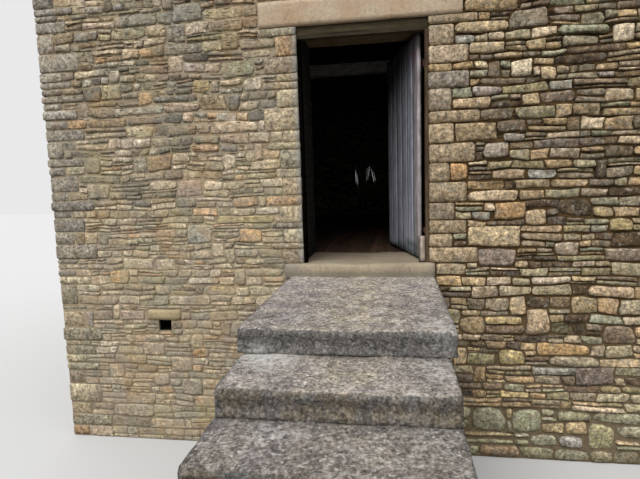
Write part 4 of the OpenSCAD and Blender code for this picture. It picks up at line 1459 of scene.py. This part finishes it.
def door_board(low, high, x0, x1, number, rng):
    """One board of the shut door, a little warped, with its own length and a ragged foot."""
    bm = gridded_box((x0, low.y, low.z), (x1, high.y, high.z), BOARD_GRID)
    warp, foot, crown = rng.uniform(-2, 2) * MM, rng.uniform(0, 7) * MM, rng.uniform(0, 4) * MM
    a, b = Vector((x0, low.y, low.z + foot)), Vector((x1, high.y, high.z - crown))
    middle, half = (a.x + b.x) / 2, (b.x - a.x) / 2
    for v in bm.verts:
        place = v.co.copy()
        place.z = a.z + (place.z - low.z) * (b.z - a.z) / (high.z - low.z)
        new, _ = rounded(place, a, b, BOARD_EDGE)
        new.y += warp * ((place.x - middle) / half) ** 2 * 0.5 + 0.5 * MM * lumpy(place, 60, number)
        ragged = max(0.0, 1 - (place.z - a.z) / 0.06)
        new.z += ragged * 8 * MM * max(0.0, lumpy(Vector((place.x, 0, 0)), 18, number + 9))
        v.co = new
    return bm


class BARN_OT_door(bpy.types.Operator):
    """Makes the door's weathered boards and dresses its ledges, straps and frame"""
    bl_idname = "barn.door"
    bl_label = "Door"

    def execute(self, context):
        settings = context.scene.barn_wood
        joint = frame["joints"][0]
        pin = Vector(joint["pos_m"])
        turn = Matrix.Rotation(math.radians(joint["range_deg"][1]), 4, "Z")
        closing = Matrix.Translation(pin) @ turn @ Matrix.Translation(-pin)
        shut = [closing @ v.co for v in frame["nodes"]["door_boards"].data.vertices]
        low = Vector([min(p[i] for p in shut) for i in range(3)])
        high = Vector([max(p[i] for p in shut) for i in range(3)])
        rng = random.Random(5)
        count = settings.door_boards
        cuts = [low.x + (high.x - low.x) * (i + (rng.uniform(-0.12, 0.12) if 0 < i < count else 0)) / count
                for i in range(count + 1)]
        leaf = bmesh.new()
        layer = leaf.verts.layers.float_color.new("tone")
        for i, (x0, x1) in enumerate(zip(cuts, cuts[1:])):
            start = len(leaf.verts)
            board = to_mesh("board", door_board(low, high, x0 + BOARD_GAP, x1 - BOARD_GAP, i, rng))
            leaf.from_mesh(board)
            bpy.data.meshes.remove(board)
            leaf.verts.ensure_lookup_table()
            for v in leaf.verts[start:]:
                v[layer] = door_tone(v.co, low, high, DOOR_TONES[i % len(DOOR_TONES)])
        bmesh.ops.transform(leaf, matrix=closing.inverted(), verts=leaf.verts)
        boards = wood_material("pine boards weathered grey", settings.door, "#8e8e97", "#2a282b", "Z", 1.3,
                               toned=True)
        piece("door_planks", to_mesh("door_planks", leaf), boards, LEAF, ("door_boards",))
        dress(wood_material("pine ledges weathered dark", settings.timber, "#5a4f46", "#1c1713", "X"),
              "door_ledges")
        dress(wood_material("oak frame weathered brown", "#453629", "#65533f", "#17110d", "Z"),
              "door_post_right")
        # The left post is near black with no sheen: painted shade inside the doorway
        dress(wood_material("oak frame in painted shade", "#060505", "#0b0908", "#030202", "Z", specular=0.0),
              "door_post_left")
        dress(wood_material("oak head weathered brown", "#2f291e", "#473f2f", "#15110c", "X"), "door_head")
        self.foot_block()
        dress(iron_material(), "strap_hinges", "hinge_pintles")
        return {"FINISHED"}

    def foot_block(self):
        """Makes the patch of wood at the post's foot, with painted shade at its edges and a painted shadow at
        its base.
        """
        low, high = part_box("post_foot_block")
        bm = gridded_box(low, high, (9 * MM, 20 * MM, 12 * MM))
        layer = bm.verts.layers.float_color.new("tone")
        for v in bm.verts:
            # Painted shade at the side edges and painted shadow at the base, with some mottling
            edge = min(v.co.x - low.x, high.x - v.co.x) / (high.x - low.x)
            dark = min(1.0, 0.12 + edge * 4.5) * min(1.0, 0.08 + (v.co.z - low.z) / 0.05)
            dark *= 1 + 0.35 * lumpy(v.co, 40, 6)
            v.co, _ = rounded(v.co.copy(), low, high, 3 * MM)
            v[layer] = (dark * 1.04, dark, dark * 0.95, 1.0)
        wood = wood_material("pine block weathered grey", "#8a8078", "#a59a90", "#2a2624", "Z", toned=True)
        piece("post_foot_patch", to_mesh("post_foot_patch", bm), wood,
              replaces=("post_foot_block",))


# Each gap between the back window's split slats: its middle, its widest part and how far its foot leans to
# the right, as shares of the opening's width, and the shares of the height where it starts and ends
SLAT_GAPS = ((0.02, 0.014, 0.02, 0.2, 0.85), (0.085, 0.010, 0.0, 0.1, 0.7), (0.50, 0.006, -0.10, 0.2, 1.0),
             (0.56, 0.008, -0.13, 0.3, 1.0), (0.75, 0.010, 0.20, 0.25, 0.85), (0.83, 0.008, 0.22, 0.3, 0.75))


class BARN_OT_timbers(bpy.types.Operator):
    """Dresses the lintels, roof timbers, joists, roof boards and window slats"""
    bl_idname = "barn.timbers"
    bl_label = "Timbers"

    def execute(self, context):
        settings = context.scene.barn_wood
        dark = settings.timber
        # Name, tone, paler streaks, dark checks, the grain's way, how coarse it is, and the nodes
        rows = (("oak lintel hewn", "#776650", "#8d7c62", "#2c241b", "X", 1.5, "timber_lintels"),
                ("oak beam hewn", dark, "#52463a", "#15110d", "X", 1.6, "floor_joists"),
                # The tie beam is near white: painted light from the doorway
                ("oak tie beam with painted light", "#dcd6d6", "#e4dfdd", "#6a625d", "X", 1.6, "tie_beam"),
                ("oak purlin hewn", dark, "#52463a", "#15110d", "Y", 1.6, "purlins", "ridge_beam"),
                ("pine roof boards sawn", "#4d4136", "#655747", "#1c1611", "Y", 2.5, "roof_boards_left",
                 "roof_boards_right"))
        for name, tone, pale, checks, along, coarse, *nodes in rows:
            dress(wood_material(name, tone, pale, checks, along, coarse), *nodes)
        dress(wood_material("pine rafter sawn", dark, "#54473a", "#15110d", "X", 1.4, folded=True),
              "rafters", "principal_rafter_left", "principal_rafter_right")
        self.slats()
        return {"FINISHED"}

    def slats(self):
        """Makes the back window's split and leaning slats."""
        low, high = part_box("back_window_slats")
        width, height = high.x - low.x, high.z - low.z
        gaps = ((0.0, 0.0, 0.0, 0.0, 1.0), *SLAT_GAPS, (1.0, 0.0, 0.0, 0.0, 1.0))
        points = []
        for before, after in zip(gaps, gaps[1:]):
            bm = gridded_box((0, low.y, low.z), (1, high.y, high.z), (1, 1, 0.07))
            part, faces = shape_of(bm)
            rise = (part[:, 2] - low.z) / height
            edges = []
            for middle, widest, foot, start, end in (before, after):
                opened = np.sin(np.clip((rise - start) / (end - start), 0, 1) * math.pi)
                lean = foot * (0.5 - rise) + 0.02 * np.sin(rise * 3 + middle * 9) * (0 < middle < 1)
                edges.append((middle + lean, opened * widest / 2 + 0.0005))
            left, right = edges[0][0] + edges[0][1], edges[1][0] - edges[1][1]
            part[:, 0] = low.x + width * (left + (right - left) * part[:, 0])
            points.append(part)
        mesh = joined("window_slats", faces, np.array(points), [(1, 1, 1)] * len(points), smooth=False)
        wood = wood_material("pine slats weathered", "#5b5249", "#7b7166", "#231e19", "Z")
        piece("window_slats", mesh, wood, replaces=("back_window_slats",))


# Half the gap between two floor boards, the radius of their edges, and how uneven they lie
FLOOR_GAP, FLOOR_EDGE, FLOOR_UNEVEN = 1.5 * MM, 2.5 * MM, 2
# Where the joints in the floor boards' length fall, as shares of the floor's depth
FLOOR_BREAKS = [0.357, 0.5, 0.643]


class BARN_OT_floor(bpy.types.Operator):
    """Lays the floor boards"""
    bl_idname = "barn.floor"
    bl_label = "Floor Boards"

    def execute(self, context):
        settings = context.scene.barn_wood
        low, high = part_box("floor_boards")
        rng = random.Random(8)
        width = (high.x - low.x) / settings.floor_boards
        lows, highs, tones = [], [], []
        for i in range(settings.floor_boards):
            break_y = low.y + (high.y - low.y) * rng.choice(FLOOR_BREAKS)
            x0, x1 = low.x + width * i + FLOOR_GAP, low.x + width * (i + 1) - FLOOR_GAP
            for y0, y1 in ((low.y, break_y), (break_y, high.y)):
                lows.append((x0, y0 + MM, low.z))
                highs.append((x1, y1 - MM, high.z - rng.uniform(0, FLOOR_UNEVEN) * MM))
                tone = rng.uniform(0.75, 1.2)
                tones.append((tone, tone * rng.uniform(0.94, 1.0), tone * rng.uniform(0.9, 1.0)))
        shape, faces = bevelled_cube()
        points = slabs(shape, np.array(lows), np.array(highs), FLOOR_EDGE)
        mesh = joined("floor_planks", faces, points, tones, smooth=False)
        wood = wood_material("pine floor worn and dusty", settings.floor, "#4b382c", "#17110d", "Y", 1.5,
                             toned=True)
        piece("floor_planks", mesh, wood, replaces=("floor_boards",))
        return {"FINISHED"}


# Roof

# The boards under the slates, and the gap between two layers of the roof
ROOF_BOARDS, LAYER_GAP = 22 * MM, 0.1 * MM
# How near the ridge the tails and the heads of slates may be
TAIL_FROM, HEAD_FROM = 0.12, 0.015
# The narrowest strip that is left at an edge, and the narrowest slate
EDGE_STRIP, NARROWEST = 0.08, 0.05
# The radius of the slates' edges, and how far they lie off the boards
SLATE_EDGE, SLATE_LIFT = 1.6 * MM, 0.5 * MM
# Half the gap between two ridge tiles, and half the width and the drop of the flat at their top
TILE_GAP, TILE_FLAT, TILE_DROP = 1.5 * MM, 12 * MM, 8 * MM


class BARN_OT_roof(bpy.types.Operator):
    """Lays the slates and the ridge tiles"""
    bl_idname = "barn.roof"
    bl_label = "Slates and Ridge"

    def execute(self, context):
        settings = context.scene.barn_roof
        slate = slate_material("slate riven and weathered", settings.slate, "#5a5a42")
        shape, faces = bevelled_cube()
        low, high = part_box("slates_left")
        cos, sin = math.cos(PITCH), math.sin(PITCH)
        base_z = APEX_Z + (ROOF_BOARDS + LAYER_GAP) / cos
        tails = [-low.x / cos]
        while tails[-1] - settings.gauge > TAIL_FROM:
            tails.append(tails[-1] - settings.gauge)
        for side, name in ((-1, "left"), (1, "right")):
            rng = random.Random(70 + side)
            laid = [one for number, tail in enumerate(tails)
                    for one in self.course(settings, number, tail, low.y, high.y, rng)]
            lows, highs, lies, tones = (np.array(part) for part in zip(*laid))
            points = slabs(shape, lows, highs, SLATE_EDGE)
            along = points[..., 0]
            lap, head, tail = (lies[:, None, i] for i in range(3))
            up = points[..., 2] + lap * (along - head) / (tail - head) + SLATE_LIFT
            world = np.stack((side * (along * cos + up * sin), points[..., 1],
                              base_z - along * sin + up * cos), axis=-1)
            label = f"slates_{name}_laid"
            mesh = joined(label, faces, world, np.clip(tones, 0, 2), smooth=False, flip=side < 0)
            piece(label, mesh, slate, replaces=(f"slates_{name}",))
        self.ridge(settings)
        return {"FINISHED"}

    def course(self, settings, number, tail, start, end, rng):
        """The slates of one course, laid flat: each one's low and high corner, how much higher its tail lies
        than its head, the places of both, and its tone."""
        thick = settings.slate_t
        head = max(HEAD_FROM, tail - (settings.slate_length if number else settings.slate_length * 0.6))
        y = start - (settings.slate_width / 2 if number % 2 else 0)
        while y < end - 1e-6:
            width = settings.slate_width * rng.uniform(0.9, 1.1)
            y0, y1 = max(y, start), min(y + width, end)
            if end - y1 < EDGE_STRIP:
                y1 = end
            y = y1
            if y1 - y0 <= NARROWEST:
                continue
            worn = rng.uniform(0, 5) * MM * (number > 0)
            top = (tail - worn, y1 - MM, thick * rng.uniform(0.85, 1.1))
            lap = 2 * thick + rng.uniform(0, 2) * MM if tail - head > settings.gauge * 1.2 else thick
            tone = rng.uniform(0.78, 1.22)
            yield ((head, y0 + MM, 0.0), top, (lap if number else thick, head, tail),
                   (tone * rng.uniform(0.96, 1.06), tone, tone * rng.uniform(0.96, 1.05)))

    def ridge(self, settings):
        """Makes the ridge tiles, each a little out of line."""
        low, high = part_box("ridge_tiles")
        wing, drop = high.x, high.x * RISE
        foot, flat = high.z - drop, high.z - TILE_DROP
        outline = [(-wing, low.z), (0, low.z + drop), (wing, low.z), (wing, foot), (TILE_FLAT, flat),
                   (0, high.z), (-TILE_FLAT, flat), (-wing, foot)]
        sides = len(outline)
        points = np.array([(x, y, z) for y in (0.0, 1.0) for x, z in outline])
        faces = [tuple(range(sides)), tuple(range(2 * sides - 1, sides - 1, -1))]
        for i in range(sides):
            after = (i + 1) % sides
            faces.append((i, i + sides, after + sides, after))
        rng = random.Random(77)
        count = settings.ridge_tiles
        length = (high.y - low.y) / count
        copies = np.repeat(points[None], count, axis=0)
        for i in range(count):
            y0, y1 = low.y + length * i + TILE_GAP, low.y + length * (i + 1) - TILE_GAP
            copies[i, :, 1] = y0 + points[:, 1] * (y1 - y0)
            copies[i, :, 2] += rng.uniform(-2, 1) * MM + (points[:, 1] - 0.5) * rng.uniform(-3, 3) * MM
            copies[i, :, 0] += rng.uniform(-3, 3) * MM
        tones = [(v, v * 0.99, v * 0.97) for v in (rng.uniform(0.85, 1.15) for _ in range(count))]
        tile = slate_material("clay ridge tile fired", settings.ridge, "#58573f")
        mesh = joined("ridge_tiles_laid", faces, copies, tones, smooth=False)
        piece("ridge_tiles_laid", mesh, tile, replaces=("ridge_tiles",))


# Stage

# How far the floor reaches from the middle
FLOOR_REACH = 40
# How bright the camera sees the sky, which is as bright as the far floor
BACKGROUND = 0.815
# How strong the sky's light is near the ground, how high its full strength starts, the way of the main lamp's
# light and how wide it is
SKY_LOW, SKY_FROM = 0.85, 0.8
SUN_WAY, SUN_WIDTH = Vector((0.28, 0.8, -1.0)), math.radians(50)
# Where the camera stands, and which way its right and its top point
CAMERA_PLACE = Vector((0.257, -4.157, 2.475))
CAMERA_RIGHT = Vector((0.988, 0.151, -0.031))
CAMERA_UP = Vector((0.013, 0.124, 0.992))


class BARN_OT_stage(bpy.types.Operator):
    """Makes the pale floor, the soft light and the camera"""
    bl_idname = "barn.stage"
    bl_label = "Stage"

    def execute(self, context):
        settings = context.scene.barn_stage
        bm = bmesh.new()
        bmesh.ops.create_grid(bm, x_segments=1, y_segments=1, size=FLOOR_REACH)
        bmesh.ops.translate(bm, verts=bm.verts, vec=(0, 0, -MM))
        floor = placed("stage_floor", to_mesh("stage_floor", bm, smooth=False))
        # Plain matt floor: pale to the camera, and dark to the object, so that little light comes from below
        made, put, _ = new_material("plaster floor smooth", 0.95, 0.1)
        finished(made, put, put("mix", self.seen(put), rgba("#5f5c55"), rgba(settings.floor)))
        floor.data.materials.append(made)
        self.light(context.scene, settings)
        self.camera(context.scene, settings)
        return {"FINISHED"}

    def seen(self, put):
        """One where the camera sees a surface, in itself, in metal or through glass, and else zero."""
        path = put("light_path")
        indirect = put("most", path["Is Glossy Ray"], path["Is Transmission Ray"])
        return put("most", path["Is Camera Ray"], indirect)

    def light(self, scene, settings):
        """Makes the soft sky and the soft main lamp."""
        world = bpy.data.worlds.new("soft_sky")
        scene.world = world
        world.use_nodes = True
        tree = world.node_tree
        sky = tree.nodes["Background"]
        sky.inputs["Color"].default_value = (1.0, 1.0, 1.0, 1.0)
        put = partial(add, tree)
        height = put("axes", put("way"))[2]
        seen = self.seen(put)
        light = put("range", height, 0.0, SKY_FROM, SKY_LOW, settings.sky)
        tree.links.new(put("between", seen, light, BACKGROUND), sky.inputs["Strength"])
        lamp = bpy.data.lights.new("soft_sun", "SUN")
        lamp.energy = settings.sun
        lamp.angle = SUN_WIDTH
        sun = placed("soft_sun", lamp)
        sun.rotation_mode = "QUATERNION"
        sun.rotation_quaternion = SUN_WAY.to_track_quat("-Z", "Y")

    def camera(self, scene, settings):
        """Sets up the camera that took the photo."""
        lens = bpy.data.cameras.new("camera")
        lens.sensor_fit = "HORIZONTAL"
        lens.sensor_width = 36.0
        lens.lens = settings.lens / MM
        lens.clip_start, lens.clip_end = 0.05, 200
        camera = placed("camera", lens)
        right = CAMERA_RIGHT.normalized()
        back = right.cross(CAMERA_UP).normalized()
        up = back.cross(right)
        turn = Matrix((right, up, back)).transposed()
        camera.matrix_world = Matrix.Translation(CAMERA_PLACE) @ turn.to_4x4()
        scene.camera = camera


OPERATORS = (BARN_OT_wall_materials, BARN_OT_front_masonry, BARN_OT_jamb_masonry, BARN_OT_side_masonry,
             BARN_OT_stair_masonry, BARN_OT_dressed_stones, BARN_OT_concrete_steps, BARN_OT_door,
             BARN_OT_timbers, BARN_OT_floor, BARN_OT_roof, BARN_OT_stage)
SETTINGS = {"barn_masonry": BarnMasonrySettings, "barn_steps": BarnStepSettings,
            "barn_wood": BarnWoodSettings, "barn_roof": BarnRoofSettings, "barn_stage": BarnStageSettings}


class BARN_PT_sidebar(bpy.types.Panel):
    """Lists the barn's settings and pieces"""
    bl_idname = "BARN_PT_sidebar"
    bl_label = "Rubble Stone Barn"
    bl_space_type = "VIEW_3D"
    bl_region_type = "UI"
    bl_category = "Barn"

    def draw(self, context):
        for name, group in SETTINGS.items():
            box = self.layout.box()
            box.label(text=name.replace("barn_", "").title())
            for prop in group.__annotations__:
                box.prop(getattr(context.scene, name), prop)
        for kind in OPERATORS:
            self.layout.operator(kind.bl_idname)


def register():
    for kind in (*SETTINGS.values(), *OPERATORS, BARN_PT_sidebar):
        bpy.utils.register_class(kind)
    for name, group in SETTINGS.items():
        setattr(bpy.types.Scene, name, PointerProperty(type=group))


def unregister():
    for name in SETTINGS:
        delattr(bpy.types.Scene, name)
    for kind in reversed((*SETTINGS.values(), *OPERATORS, BARN_PT_sidebar)):
        bpy.utils.unregister_class(kind)


def main():
    register()
    bpy.context.scene.view_settings.view_transform = "Standard"
    for kind in OPERATORS:
        group, name = kind.bl_idname.split(".")
        getattr(getattr(bpy.ops, group), name)()


if __name__ == "__main__":
    main()
